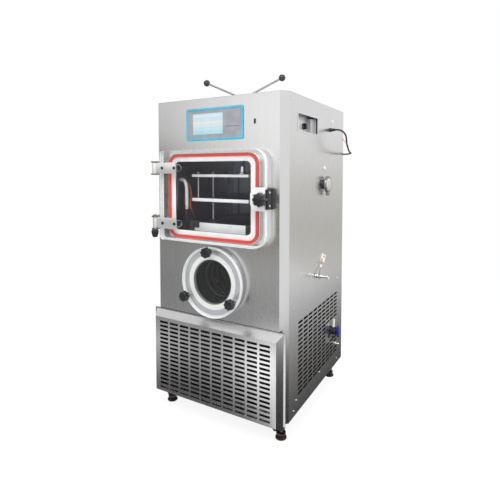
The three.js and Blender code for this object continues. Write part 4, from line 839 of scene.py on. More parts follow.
class DRYER_OT_stage(bpy.types.Operator):
    """Camera, floor, world and soft lights"""

    bl_idname = "dryer.stage"
    bl_label = "Stage"

    def execute(self, context):
        settings = context.scene.dryer_stage
        self.camera(context, settings)
        self.floor()
        self.world(context)
        self.lights(settings)
        self.reflector()
        context.scene.view_settings.view_transform = "Standard"
        return {"FINISHED"}

    def camera(self, context, settings):
        camera = put("camera", bpy.data.cameras.new("camera"))
        camera.data.lens = settings.lens
        camera.data.shift_y = -0.1203
        camera.location = to_row((893.6, -1289.1, 985.4))
        camera.rotation_euler = (math.pi / 2 - settings.pitch, 0.0, settings.yaw)
        context.scene.camera = camera

    def floor(self):
        reach, thickness, gap = 9000, 20, 0.2
        floor = put("floor", settle("floor", block(
            bmesh.new(), (-reach, -reach, -thickness), (reach, reach, -gap))))
        floor.data.materials.append(studio_floor("studio_floor"))

    def world(self, context):
        world = bpy.data.worlds.new("studio")
        world.use_nodes = True
        tree = world.node_tree
        tree.nodes.clear()
        soft = add(tree, "ShaderNodeBackground", inputs={"Color": grey(1.0), "Strength": 0.66})
        white = add(tree, "ShaderNodeBackground", inputs={"Color": grey(1.0), "Strength": 1.0})
        mix = add(tree, "ShaderNodeMixShader", inputs={
            0: any_ray(tree, *SHOWN_RAYS), 1: soft.outputs[0], 2: white.outputs[0]})
        add(tree, "ShaderNodeOutputWorld", inputs={"Surface": mix.outputs[0]})
        context.scene.world = world

    def lights(self, settings):
        places = [
            ("key_light", (600, -1500, 2700), (0, 200, 800), 1.8, settings.key),
            ("side_light", (2300, 400, 1900), (200, 300, 700), 1.4, settings.fill),
        ]
        for name, place, target, size, power in places:
            lamp = put(name, bpy.data.lights.new(name, "AREA"))
            lamp.data.energy = power
            lamp.data.size = size
            lamp.location = to_row(place)
            lamp.rotation_mode = "QUATERNION"
            lamp.rotation_quaternion = (to_row(target) - lamp.location).to_track_quat("-Z", "Y")

    def reflector(self):
        """Grey cards round the machine, seen only in its metal and gloss, as a studio's darker sides are."""
        front, back = (-1688, -532), (396, -1724)
        self.card("card_front", [(*front, 0), (*back, 0), (*back, 2400), (*front, 2400)],
                  [(0, 0.55), (0.29, 0.72), (0.45, 1.0), (0.62, 1.22), (1, 1.25)],
                  [(0, 0.36), (0.2, 0.36), (0.26, 0.46), (0.33, 0.4), (0.38, 0.1, 0.6), (0.49, 0.14, 0.6),
                   (0.55, 0.8, 0.04), (0.59, 1.06), (0.7, 1.1), (0.85, 1.0), (1, 0.95)], 0.25)
        self.card("card_floor_front", [(-700, -95, 3), (240, -95, 3), (-198, -900, 3), (-1374, -900, 3)],
                  [(0, 1.8), (0.35, 1.25), (0.5, 0.9), (0.7, 0.9), (0.85, 1.9), (1, 5.4)],
                  [(0, 0.05), (0.12, 0.1), (0.36, 0.3), (0.6, 0.68), (0.74, 0.72), (0.84, 0.3), (1, 0.06)])
        self.card("card_floor_far", [(-1539, -272, 4), (111, -1216, 4), (-53, -1502, 4), (-1703, -558, 4)],
                  [(0, 0.8), (0.5, 0.8), (0.75, 0.45), (1, 0.4)], [(0, 0.25), (1, 0.25)])
        self.card("card_floor_beyond", [(-1600, -903, 2), (800, -903, 2), (800, -1900, 2), (-1600, -1900, 2)],
                  [(0, 1.8), (0.4, 1.2), (0.7, 0.6), (1, 1.0)], [(0, 0.11), (1, 0.13)])
        self.card("card_back", [(300, 2450, 0), (2300, 2750, 0), (2300, 2750, 2600), (300, 2450, 2600)],
                  [(0, 1.0), (1, 1.0)],
                  [(0, 0.62, 0.06), (0.07, 0.66, 0.1), (0.16, 0.6, 0.1), (0.33, 0.76, 0.06), (0.5, 1.0),
                   (1, 1.0)])
        self.card("card_floor_side", [(301, 150, 3), (1100, 150, 3), (1100, 2600, 3), (301, 2600, 3)],
                  [(0, 0.05), (0.12, 0.1), (0.29, 0.21, 0.1), (0.48, 0.4), (0.66, 0.57), (1, 0.62)],
                  [(0, 1.0), (1, 1.0)])
        self.card("card_floor_corner", [(301, -400, 3), (1500, -400, 3), (1500, 148, 3), (301, 148, 3)],
                  [(0, 0.03), (0.5, 0.05), (0.62, 0.11), (0.75, 0.25), (1, 0.8)], [(0, 1.0), (1, 1.0)])

    def card(self, name, corners, along, up, slant=0.0):
        """Card of two tone lists, along its first edge and up its second.

        A slant draws the second list further down at the far end of the first edge."""
        mesh = bpy.data.meshes.new(name)
        mesh.from_pydata([to_row(p) for p in corners], [], [(0, 1, 2, 3)])
        place = mesh.uv_layers.new(name="card")
        for loop, uv in zip(place.data, ((0, 0), (1, slant), (1, 1 + slant), (0, 1))):
            loop.uv = uv
        mesh.materials.append(toned_card(name, along, up))
        card = put(name, mesh)
        for kind in ("camera", "diffuse", "transmission", "shadow"):
            setattr(card, f"visible_{kind}", False)


# ------------ cabinet

JOIN = 0.02  # sheet corners closer than this are one corner


def slot_cell(grille):
    """One cell of punched sheet, drawn in X and Y round its middle: a rectangle with a round-ended slot."""
    bm = bmesh.new()
    half_u, half_v = grille.pitch_along / 2, grille.pitch_up / 2
    radius = 2.6
    slot_u, slot_v = grille.slot_length / 2, grille.slot_height / 2
    corners = [bm.verts.new((u, v, 0)) for u, v in (
        (-half_u, -half_v), (half_u, -half_v), (half_u, half_v), (-half_u, half_v))]
    rim = [bm.verts.new((u, v, 0)) for u, v in rounded_rectangle(-slot_u, -slot_v, slot_u, slot_v, radius, 3)]
    quarter = len(rim) // 4
    for k in range(4):
        first = k * quarter + quarter // 2
        last = first + quarter
        side = [rim[i % len(rim)] for i in range(first, last + 1)]
        bm.faces.new([corners[k], corners[(k + 1) % 4], *reversed(side)])
    return bm


def cell_middle(value, first, pitch):
    """Middle of the slot cell that a place falls in, one way along the grid."""
    return first + (math.floor((value - first) / pitch) + 0.5) * pitch


def punched_sheet(name, grille, lines_u, lines_v, first, punched, void, facing):
    """Flat sheet on a grid of lines; punched cells hold a slot and void cells are left out.

    The sheet is drawn in its own u and v, and facing turns (u, v) into a point."""
    places = {}
    bm = bmesh.new()
    for u0, u1 in zip(lines_u, lines_u[1:]):
        for v0, v1 in zip(lines_v, lines_v[1:]):
            u, v = (u0 + u1) / 2, (v0 + v1) / 2
            if void(u, v):
                continue
            cell = (cell_middle(u, first[0], grille.pitch_along), cell_middle(v, first[1], grille.pitch_up))
            if punched(*cell):
                places[round(cell[0], 2), round(cell[1], 2)] = ((*cell, 0), UP)
                continue
            bm.faces.new([bm.verts.new((a, b, 0)) for a, b in ((u0, v0), (u1, v0), (u1, v1), (u0, v1))])
    mesh = repeated(name + "_slots", slot_cell(grille), list(places.values()), "sheet", JOIN)
    bm.from_mesh(mesh)
    bmesh.ops.remove_doubles(bm, verts=bm.verts, dist=JOIN)
    for vertex in bm.verts:
        vertex.co = facing(vertex.co.x, vertex.co.y)
    return bm


def thicken(name, bm, thickness, outward, node):
    """Give a folded skin its sheet thickness and make it a piece, its inner faces and slot walls painted
    black as painted shade.

    Outward is a direction that most of its faces look to."""
    clean(bm, JOIN)
    total = Vector()
    for face in bm.faces:
        total += face.normal * face.calc_area()
    if total.dot(outward) < 0:
        bmesh.ops.reverse_faces(bm, faces=bm.faces)
    for face in bm.faces:
        face.material_index = 0  # the repeated cells come with an index of their own
    mesh = bpy.data.meshes.new(name + "_skin")
    bm.to_mesh(mesh)
    bm.free()
    finishes = ("sheet", "lining")
    for finish in finishes:
        mesh.materials.append(finish_of(finish))
    holder = put(name + "_skin", mesh)
    solidify = holder.modifiers.new("Sheet", "SOLIDIFY")
    solidify.thickness = thickness
    solidify.offset = -1
    solidify.material_offset = 1
    solidify.material_offset_rim = 1
    solid = from_mesh(plain_mesh(name, holder))
    bpy.data.objects.remove(holder)
    return piece(name, solid, "cabinet", finishes, (node,), sharp=20)


def grid_lines(start, end, first, pitch, count, extra=()):
    """Sorted grid lines: both ends, the cells' borders and any extra ones."""
    lines = {round(value, 3) for value in (start, end, *extra)}
    lines |= {round(first + pitch * k, 3) for k in range(count + 1)}
    return sorted(lines)


class DRYER_OT_cabinet(bpy.types.Operator):
    """Sheet-metal cabinet with its slotted cover, side panels and screws"""

    bl_idname = "dryer.cabinet"
    bl_label = "Cabinet"

    def execute(self, context):
        grille = context.scene.dryer_grille
        for node in ("front_panel", "rear_cover"):
            dress(node, "sheet")
        dress("switch_recess", "aluminium")
        # The floor tray is black so that the slots show dark: painted shade inside the cabinet.
        dress("floor_tray", "enamel")
        dress("top_panel", "lid")
        self.cover(grille)
        self.side("right_side_panel", grille, 1)
        self.side("left_side_panel", grille, -1)
        self.fasteners()
        return {"FINISHED"}

    def cover(self, grille):
        """Mitred tray: punched face, folded slopes and a flat lip, all one skin."""
        low, high = span("lower_front_cover")
        inset, lip, lip_top, face_drop = 24.0, 8.0, 5.0, 27.0
        face_x = high.x - inset
        face_top = high.z - face_drop
        half_field = grille.pitch_along * grille.front_columns / 2
        bottom_line = grille.front_bottom - grille.pitch_up / 2
        lines_x = grid_lines(-face_x, face_x, -half_field, grille.pitch_along, grille.front_columns)
        lines_z = grid_lines(low.z, face_top, bottom_line, grille.pitch_up, grille.rows)
        top_line = bottom_line + grille.pitch_up * grille.rows
        bm = punched_sheet(
            "lower_front_cover", grille, lines_x, lines_z, (-half_field, bottom_line),
            lambda u, v: abs(u) < half_field and bottom_line < v < top_line,
            lambda u, v: False, lambda u, v: Vector((u, low.y, v)))
        sheet = 1.5
        back = high.y - sheet
        rings = ((face_x, face_top, low.y), (high.x - lip, high.z - lip_top, back), (high.x, high.z, back))
        border = [(-face_x, z) for z in lines_z] + [(x, face_top) for x in lines_x[1:]]
        border += [(face_x, z) for z in reversed(lines_z[:-1])]
        loops = []
        for ring_x, ring_top, ring_y in rings:
            scale_z = (ring_top - low.z) / (face_top - low.z)
            loops.append([bm.verts.new((x * ring_x / face_x, ring_y, low.z + (z - low.z) * scale_z))
                          for x, z in border])
        for loop, following in zip(loops, loops[1:]):
            for i in range(len(loop) - 1):
                bm.faces.new((loop[i], loop[i + 1], following[i + 1], following[i]))
        for x0, x1 in zip(lines_x, lines_x[1:]):
            bm.faces.new([bm.verts.new((x, y, low.z)) for x, y in (
                (x0, low.y), (x1, low.y), (x1, back), (x0, back))])
        for x, foot in ((face_x, high.x - lip), (-face_x, lip - high.x)):
            bm.faces.new([bm.verts.new((a, b, low.z)) for a, b in ((x, low.y), (x, back), (foot, back))])
        thicken("slotted_cover", bm, sheet, OUT_FRONT, "lower_front_cover")
        # Thin black strips along the cover's top and down both sides: painted shadow lines at the seams.
        bm = block(bmesh.new(), (low.x + 6, -1.4, high.z), (high.x - 6, -0.3, high.z + 1.0))
        for side in (-1, 1):
            ends = sorted((side * (high.x - 30), side * (high.x - 2)))
            block(bm, (ends[0], -0.28, low.z + 0.5), (ends[1], -0.02, high.z - 0.5))
        piece("cover_seam_foam", bm, "cabinet", "lining")

    def side(self, node, grille, hand):
        """Flat side panel with its field of slots; hand is 1 on the right and -1 on the left."""
        low, high = span(node)
        recess_low, recess_high = span("switch_recess")
        drain, nozzle = middle("drain_valve"), middle("drain_nozzle")
        first_y = grille.side_start - (grille.pitch_along - grille.slot_length) / 2
        first_z = grille.side_bottom - grille.pitch_up / 2
        end_y = first_y + grille.pitch_along * grille.side_columns
        end_z = first_z + grille.pitch_up * grille.rows
        fold = 2.8
        hole_y = (recess_low.y + fold, recess_high.y - fold)
        hole_z = (recess_low.z + fold, recess_high.z - fold)
        plain_z, plain_half, nozzle_half, plain_rows = 264, 38, 11.8, 13
        start_z = first_z if hand > 0 else first_z + grille.pitch_up * plain_rows

        def punched(y, z):
            if not (first_y < y < end_y and start_z < z < end_z):
                return False
            if hand < 0:
                return True
            near_valve = abs(y - drain.y) < grille.pitch_along * 1.3 and abs(z - plain_z) < plain_half
            near_nozzle = abs(y - nozzle.y) < grille.pitch_along / 2 and abs(z - nozzle.z) < nozzle_half
            return not (near_valve or near_nozzle)

        def void(y, z):
            return hand > 0 and hole_y[0] < y < hole_y[1] and hole_z[0] < z < hole_z[1]

        face_x = high.x if hand > 0 else low.x
        bm = punched_sheet(
            node, grille,
            grid_lines(low.y, high.y, first_y, grille.pitch_along, grille.side_columns,
                       hole_y if hand > 0 else ()),
            grid_lines(low.z, high.z, first_z, grille.pitch_up, grille.rows, hole_z if hand > 0 else ()),
            (first_y, first_z), punched, void, lambda u, v: Vector((face_x, u, v)))
        thicken(node + "_sheet", bm, 1.5, OUT_RIGHT * hand, node)

    def fasteners(self):
        high = span("right_side_panel")[1]
        places = [((high.x, y, z), OUT_RIGHT) for y, z in (
            (64, 1239), (67, 481), (95, 131.5), (71, 102), (340, 133), (570, 1239), (575, 481), (570, 102))]
        left = span("left_side_panel")[0].x
        places += [((left, y, z), -OUT_RIGHT) for y, z in (
            (64, 1239), (67, 481), (71, 102), (570, 1239), (575, 481), (570, 102))]
        back = span("rear_cover")[1].y
        places += [((x, back, z), OUT_BACK) for x in (-270, 0, 270) for z in (110, 500, 880, 1235)]
        screws("cabinet_screws", places, "cabinet", 3.4)


# ------------ control panel and switch


class DRYER_OT_control_panel(bpy.types.Operator):
    """Teal bezel with its grey face, lit display and service socket"""

    bl_idname = "dryer.control_panel"
    bl_label = "Control panel"

    def execute(self, context):
        low, high = span("control_panel")
        rim, step = 9.0, 1.6
        bm = band(bmesh.new(), box_outline(low, high, 7.0), box_outline(low, high, 3.0, rim),
                  front_plane, low.y, -0.3)
        soften(bm, 1.1, 3)
        piece("panel_bezel", bm, "cabinet", "bezel", ("control_panel",))
        bm = prism(bmesh.new(), box_outline(low, high, 3.0, rim - 0.5), front_plane, low.y + step, high.y)
        piece("panel_face", bm, "cabinet", "bezel_face")
        screen_low, screen_high = span("panel_screen")
        bm = prism(bmesh.new(), box_outline(screen_low, screen_high, 1.0), front_plane,
                   low.y + step - 0.5, low.y + step + 1)
        soften(bm, 0.3)
        piece("panel_display", bm, "cabinet", "display", ("panel_screen",))
        bm = bmesh.new()
        line_z = (low.z + high.z) / 2 - 13
        block(bm, (screen_high.x + 12, low.y + step - 0.25, line_z - 0.8),
              (high.x - rim - 8, low.y + step + 0.5, line_z + 0.8))
        piece("panel_divider", bm, "cabinet", "dark_line")
        self.socket()
        return {"FINISHED"}

    def socket(self):
        low, high = span("service_port")
        wall = 1.8
        bm = band(bmesh.new(), box_outline(low, high, 1.4), box_outline(low, high, 0.8, wall),
                  front_plane, low.y, high.y)
        soften(bm, 0.3)
        piece("service_socket", bm, "cabinet", "satin", ("service_port",))
        inner = wall - 0.2
        bm = block(bmesh.new(), (low.x + inner, 5, low.z + inner),
                   (high.x - inner, high.y - 0.2, high.z - inner))
        block(bm, (low.x + 3.4, 0.6, low.z + 4.2), (low.x + 5.2, 5.5, high.z - 4.2))
        piece("service_socket_tongue", bm, "cabinet", "knob")


class DRYER_OT_switch(bpy.types.Operator):
    """Rotary switch in its recess and the terminal cover beside it"""

    bl_idname = "dryer.switch"
    bl_label = "Switch"

    def execute(self, context):
        low, high = span("main_switch")
        centre = middle("main_switch")
        radius = (high.z - low.z) / 2
        bm = lathe(bmesh.new(), [
            (0, 0), (radius, 0), (radius, 4.4), (radius - 1.4, 6.4), (radius - 4, 7), (0, 7),
        ], (low.x, centre.y, centre.z), OUT_RIGHT)
        half_grip = 3.4
        outline = rounded_rectangle(centre.y - half_grip, low.z + 1, centre.y + half_grip, high.z - 1, 3.0, 6)
        grip = prism(bmesh.new(), outline, side_plane, low.x + 5, high.x)
        soften(grip, 1.0, 3)
        join_into(bm, grip)
        piece("rotary_switch", bm, "main_switch", "knob", ("main_switch",))
        bm = bmesh.new()
        half_line = 0.8
        block(bm, (high.x - 0.4, centre.y - half_line, high.z - 7),
              (high.x + 0.2, centre.y + half_line, high.z - 2))
        piece("switch_pointer", bm, "main_switch", "white_plastic")
        recess_low, recess_high = span("switch_recess")
        bm = bmesh.new()
        inner, lip = 2.7, 8.0
        block(bm, (recess_low.x + inner - 1.2, recess_high.y - lip - 34.5, recess_low.z + lip - 0.5),
              (recess_low.x + 18, recess_high.y - lip + 0.5, recess_high.z - lip + 0.5))
        soften(bm, 1.2, 3)
        piece("terminal_cover", bm, "cabinet", "grey_plastic")
        # Dark satin strips on the recess's ceiling and on its back wall by the opening: painted shade inside
        # the recess.
        bm = bmesh.new()
        back, top = recess_high.y - 4.1, recess_high.z - 4.1
        block(bm, (recess_low.x + 3, recess_low.y + 4.4, top - 0.4), (recess_high.x - 0.2, back, top))
        block(bm, (recess_high.x - 7, back - 0.4, recess_low.z + 4.4), (recess_high.x - 0.2, back, top - 0.5))
        piece("recess_lining", bm, "cabinet", "dark_satin")
        return {"FINISHED"}


# ------------ chamber


class DRYER_OT_chamber(bpy.types.Operator):
    """Chamber flange, liner, gasket, shelves, guide rods and coolant hose"""

    bl_idname = "dryer.chamber"
    bl_label = "Chamber"

    def execute(self, context):
        shell_low, shell_high = span("chamber_shell")
        self.mid = (shell_low.z + shell_high.z) / 2
        self.shell(shell_low, shell_high)
        self.gasket()
        self.shelves()
        self.hose()
        self.fittings()
        return {"FINISHED"}

    def shell(self, low, high):
        mid = self.mid
        mouth_x, mouth_z, reveal, wall = 170.0, 133.5, 11.0, 4.0
        seal_low, seal_high = span("chamber_gasket")
        seal = box_outline(seal_low, seal_high, 36.0, 6, 10)
        bm = band(bmesh.new(), box_outline(low, high, 45.0, 0, 10), seal, front_plane, low.y, -0.3)
        soften(bm, 0.8, 3)
        piece("chamber_flange_rim", bm, "cabinet", "sheet")
        mouth = rounded_rectangle(-mouth_x, mid - mouth_z, mouth_x, mid + mouth_z, 18.0, 10)
        bm = band(bmesh.new(), seal, mouth, front_plane, low.y, -0.3)
        soften(bm, 0.8, 3)
        axis = Vector((0, 0, mid))
        mark_faces(bm, lambda face: abs(face.normal.y) < 0.3
                   and face.normal.dot(face.calc_center_median() - axis) < 0)
        # The flange's outer face takes the near-white finish as a painted highlight on its steel.
        piece("chamber_flange", bm, "cabinet", ["flange", "liner"])
        bm = bmesh.new()
        box_x, box_z = mouth_x + reveal, mouth_z + reveal
        outer = rounded_rectangle(-box_x - wall, mid - box_z - wall, box_x + wall, mid + box_z + wall, 8.0)
        inner = rounded_rectangle(-box_x, mid - box_z, box_x, mid + box_z, 4.0)
        band(bm, outer, inner, front_plane, -0.3, high.y - wall)
        prism(bm, outer, front_plane, high.y - wall, high.y)
        piece("chamber_liner", bm, "cabinet", "liner", ("chamber_shell",))

    def gasket(self):
        low, high = span("chamber_gasket")
        width = 11.5
        bm = band(bmesh.new(), box_outline(low, high, 42.0, 0, 14), box_outline(low, high, 30.5, width, 14),
                  front_plane, low.y, high.y)
        soften(bm, 1.6, 3)
        piece("door_gasket", bm, "cabinet", "red_seal", ("chamber_gasket",))

    def shelves(self):
        low, high = span("middle_shelf")
        low = Vector((low.x, low.y, span("bottom_shelf")[0].z))
        side = high.x
        slab_top = low.z + 37.0
        for name, node, body, bottom, top in (
            ("shelf_bottom", "bottom_shelf", "cabinet", low.z, slab_top),
            ("shelf_middle", "middle_shelf", "cabinet", span("middle_shelf")[0].z, high.z),
            ("press_platen", "press_plate", "press", span("press_plate")[0].z, span("press_plate")[1].z),
        ):
            bm = block(bmesh.new(), (-side, low.y, bottom), (side, high.y, top))
            soften(bm, 1.4, 3)
            # Top and bottom faces take the darker liner finish and the others the pale shelf finish: painted
            # shade and painted light on one steel slab.
            mark_faces(bm, lambda face: abs(face.normal.z) > 0.75)
            piece(name, bm, body, ["shelf", "liner"], (node,))
        self.rods(low, high, side, slab_top)

    def rods(self, low, high, side, slab_top):
        """Rods in three rows behind the front one: the first of them in the pale shelf finish as painted
        light, the others in dark satin as painted shade.
        """
        rod, inset, margin = 3.2, 16, 22
        collar = span("middle_shelf")[0].z - 0.3 - slab_top
        cap = span("bottom_shelf")[1].z - slab_top
        first, last = low.y + margin, high.y - margin
        rows = [first + (last - first) * row / 3 for row in range(1, 4)]
        places = [((x, y, slab_top), UP) for x in (inset - side, side - inset) for y in rows]
        shape = lathe(bmesh.new(), [
            (0, -2), (rod, -2), (rod, collar - 8), (7, collar - 8), (8, collar - 7), (8, collar - 1),
            (7, collar), (rod, collar), (rod, cap - 6), (6.5, cap - 6), (6.5, cap - 1), (5.5, cap), (0, cap),
        ], (0, 0, 0), UP, 16)
        bm = from_mesh(repeated("guide_rods", shape, places, "trap_rim"))
        mark_faces(bm, lambda face: True, 2)
        mark_faces(bm, lambda face: face.calc_center_median().y > (rows[0] + rows[1]) / 2)
        top = slab_top + cap - high.z
        lathe(bm, [
            (0, -0.5), (2.8, -0.5), (2.8, top - 6), (6, top - 6), (6, top - 1), (5, top), (0, top),
        ], (inset - side, first, high.z), UP, 16)
        piece("guide_rods", bm, "cabinet", ["trap_rim", "dark_satin", "shelf"])
        bm = bmesh.new()
        for sign in (-1, 1):
            inner = sign * (side - 12)
            outer = sign * (side + 13)
            corner = (min(inner, outer), low.y - 3, low.z)
            block(bm, corner, (max(inner, outer), low.y + 24, slab_top + 3))
        block(bm, (12 - side, low.y - 3, low.z + 16), (36 - side, low.y + 24, slab_top + 3))
        soften(bm, 2.0, 3)
        piece("shelf_supports", bm, "cabinet", "rubber")

    def hose(self):
        low, high = span("shelf_hose")
        x, y = high.x - 5.2, (low.y + high.y) / 2
        joint, wall_z = low.z, high.z - 5
        level = span("bottom_shelf")[0].z + 18.5
        shelf = span("middle_shelf")[0]
        bm = tube(bmesh.new(), route([
            (x, y, joint - 8), (x, y, joint + 50), (x - 3, y, wall_z - 22), (x - 12, y, wall_z - 4),
            (x - 21, y, wall_z), (low.x, y, wall_z),
        ]), 7.0, 16)
        piece("coolant_hose", bm, "cabinet", "hose", ("shelf_hose",))
        bm = tube(bmesh.new(), route([
            (shelf.x + 2, shelf.y + 10, level), (x + 8, shelf.y + 10, level + 2),
            (x, shelf.y + 6, level + 10), (x, y, level + 26), (x, y, joint - 6),
        ]), 4.5, 14)
        lathe(bm, [(0, 0), (8, 0), (9, 1.5), (9, 12), (8, 13.5), (0, 13.5)], (x, y, joint - 12), UP, 6)
        piece("coolant_pipe", bm, "cabinet", "rubber")
        bm = bmesh.new()
        for reach, sway in ((11, 7), (15, 4)):
            tube(bm, route([
                (x - 4, y + 7, wall_z - 8), (x + reach, y + 6, wall_z - 34),
                (x + reach + sway, y + 4, wall_z - 62), (x + reach + 2, y + 4, wall_z - 88),
                (x + reach + sway, y + 2, joint + 6), (shelf.x - 1, shelf.y + 16, joint - 26),
            ], 6), 0.9, 8)
        tube(bm, route([(x - 14, y + 6, wall_z - 60), (x - 9, y - 2, wall_z - 86), (x - 2, y - 9, joint + 18),
                        (x + 9, y - 4, joint + 4), (x + 16, y + 4, joint + 9)], 6), 0.9, 8)
        piece("probe_wires", bm, "cabinet", "orange_wire")

    def fittings(self):
        """Ports in the chamber's back wall."""
        high = span("chamber_shell")[1]
        wall = high.y - 4
        bm = bmesh.new()
        for x, z, radius in ((96, self.mid + 105, 15), (-60, self.mid - 118, 11)):
            lathe(bm, [
                (0, 0), (radius, 0), (radius, 8), (radius - 3, 11), (radius - 6, 11), (radius - 6, 5), (0, 5),
            ], (x, wall, z), OUT_FRONT, 28)
        piece("chamber_ports", bm, "cabinet", "chrome")


# ------------ door


class DRYER_OT_door(bpy.types.Operator):
    """Clear door with its hinges, latch plate, star knob and catch"""

    bl_idname = "dryer.door"
    bl_label = "Door"

    def execute(self, context):
        low, high = span("door_plate")
        bm = prism(bmesh.new(), box_outline(low, high, (12.0, 50.0, 50.0, 12.0), 0, 12),
                   front_plane, low.y, high.y)
        soften(bm, 0.8)
        mark_faces(bm, lambda face: abs(face.normal.y) < 0.75)
        piece("door_pane", bm, "door", ["acrylic", "acrylic_edge"],
              ("door_plate",), sharp=5)
        bm = bmesh.new()
        side, top, bottom, far = 10.0, 1.2, 8.0, 4.0
        clear = rounded_rectangle(low.x + side, low.z + bottom, high.x - far, high.z - top,
                                  (14.0, 44.0, 48.0, 12.0), 12)
        band(bm, box_outline(low, high, (11.0, 49.0, 49.0, 11.0), 1, 12), clear, front_plane,
             high.y + 0.1, high.y + 0.7)
        piece("door_frosted_margin", bm, "door", "frost")
        for place in ("upper", "lower"):
            self.hinge(place, low.y)
        self.latch()
        return {"FINISHED"}

    def hinge(self, place, door_front):
        low, high = span(f"hinge_strap_{place}")
        bracket_low, bracket_high = span(f"hinge_bracket_{place}")
        pin = joint_place("door_hinge")
        knuckle, thick = 9.0, 6.0
        back = door_front - 0.3
        front = back - thick
        back_span = math.sqrt(knuckle ** 2 - (back - pin.y) ** 2)
        front_span = math.sqrt(knuckle ** 2 - (front - pin.y) ** 2)
        start = math.degrees(math.atan2(back - pin.y, back_span))
        end = math.degrees(math.atan2(front - pin.y, front_span)) + 360
        plan = [(high.x, back), *arc(pin.x, pin.y, knuckle, start, end, 32), (high.x, front)]
        bm = prism(bmesh.new(), plan, floor_plane, low.z, high.z)
        soften(bm, 0.9, 3)
        piece(f"hinge_leaf_{place}", bm, "door", "aluminium", (f"hinge_strap_{place}",))
        middle_z = (low.z + high.z) / 2
        bolts = [((x, front, middle_z), OUT_FRONT) for x in (-217.0, -157.0)]
        screws(f"hinge_bolts_{place}", bolts, "door", 6.2, "dark_satin")
        inside = (-152.0, door_front + 20, middle_z)
        bm = lathe(bmesh.new(), [
            (0, 0.2), (17, 0.2), (17, 5), (15.5, 7), (9, 7.6), (8, 9), (8, 12), (5, 13.5), (0, 13.5),
        ], inside, OUT_BACK, 32)
        piece(f"hinge_pad_{place}", bm, "door", "knob")
        bm = washer(bmesh.new(), 11.5, 15.5, 0.06, 0.3, inside, OUT_BACK, 32)
        piece(f"hinge_washer_{place}", bm, "door", "chrome")
        lug, play, foot_front, foot_end, eye = 5.7, 0.3, -6.3, -240.0, 13
        foot, top = low.z - play - lug, high.z + play + lug
        bm = block(bmesh.new(), (bracket_low.x, foot_front, foot), (foot_end, -0.3, top))
        for bottom in (foot, high.z + play):
            plan = [(pin.x + eye, foot_front + 2), *arc(pin.x, pin.y, eye, 0, -180, 16),
                    (pin.x - eye, foot_front + 2)]
            prism(bm, plan, floor_plane, bottom, bottom + lug)
        soften(bm, 0.9, 3)
        rod(bm, 4, low.z - 6, high.z + 6, (pin.x, pin.y, 0), UP, 20)
        head = bracket_high.z - top
        lathe(bm, [(0, 0), (7, 0), (7, head * 0.7), (5.6, head), (0, head)],
              (pin.x, pin.y, top - 0.2), UP, 24)
        piece(f"hinge_base_{place}", bm, "cabinet", "satin", (f"hinge_bracket_{place}",))
        if place == "lower":
            self.hinge_knob(pin)

    def hinge_knob(self, pin):
        low, high = span("hinge_knob")
        bm = star_rings(bmesh.new(), (pin.x, pin.y, high.z), DOWN, 15, high.z - low.z, 9, [
            (0.62, 0), (0.8, 0.06), (0.98, 0.2), (1, 0.3), (0.97, 0.45), (0.72, 0.86), (0.6, 0.97),
            (0.4, 1.0)])
        piece("hinge_thumb_knob", bm, "cabinet", "knob", ("hinge_knob",))

    def latch(self):
        low, high = span("latch_plate")
        knob = joint_place("door_knob_turn")
        mid = (low.z + high.z) / 2
        bm = prism(bmesh.new(), [
            (low.x, mid - 20), (low.x + 18, low.z), (high.x, low.z), (high.x, high.z), (low.x + 18, high.z),
            (low.x, mid + 20),
        ], front_plane, low.y, high.y)
        soften(bm, 0.8, 3)
        # The wear plate takes the near-white flange finish, a painted highlight on its metal.
        piece("latch_wear_plate", bm, "door", "flange", ("latch_plate",))
        screws("latch_screws", [((low.x + 13, low.y, mid + dz), OUT_FRONT) for dz in (-13, 13)], "door",
               3.4)
        back = low.y - 0.3
        star_back = back - 5.5
        depth = star_back - span("door_knob")[0].y
        bm = star_rings(bmesh.new(), (knob.x, star_back, knob.z), OUT_FRONT, 25, depth, 8, [
            (0.8, 0), (0.97, 0.06), (1, 0.14), (1, 0.74), (0.97, 0.88), (0.88, 0.96), (0.66, 1.0)])
        lathe(bm, [(0, 0), (12, 0), (12, 4), (14, 6), (0, 6)], (knob.x, back, knob.z), OUT_FRONT, 28)
        piece("door_star_knob", bm, "door_knob", "knob", ("door_knob",))
        bm = rod(bmesh.new(), 6, 0, 39, (knob.x, back + 0.2, knob.z), OUT_BACK, 24)
        piece("door_stud", bm, "door_knob", "chrome")
        self.catch()

    def catch(self):
        low, high = span("door_catch")
        ear = high.x - 8
        front = -16.3
        bm = block(bmesh.new(), (low.x, front, low.z), (high.x, -0.3, high.z))
        block(bm, (ear, low.y, low.z + 2), (high.x, -10, high.z - 2))
        soften(bm, 1.6, 3)
        piece("catch_block", bm, "cabinet", "enamel", ("door_catch",))
        places = [((low.x + 7, front, z), OUT_FRONT) for z in (low.z + 12, high.z - 12)]
        places += [((high.x, -30, z), OUT_RIGHT) for z in (high.z - 14, low.z + 14)]
        screws("catch_bolts", places, "cabinet", 4.4)


# ------------ cold trap


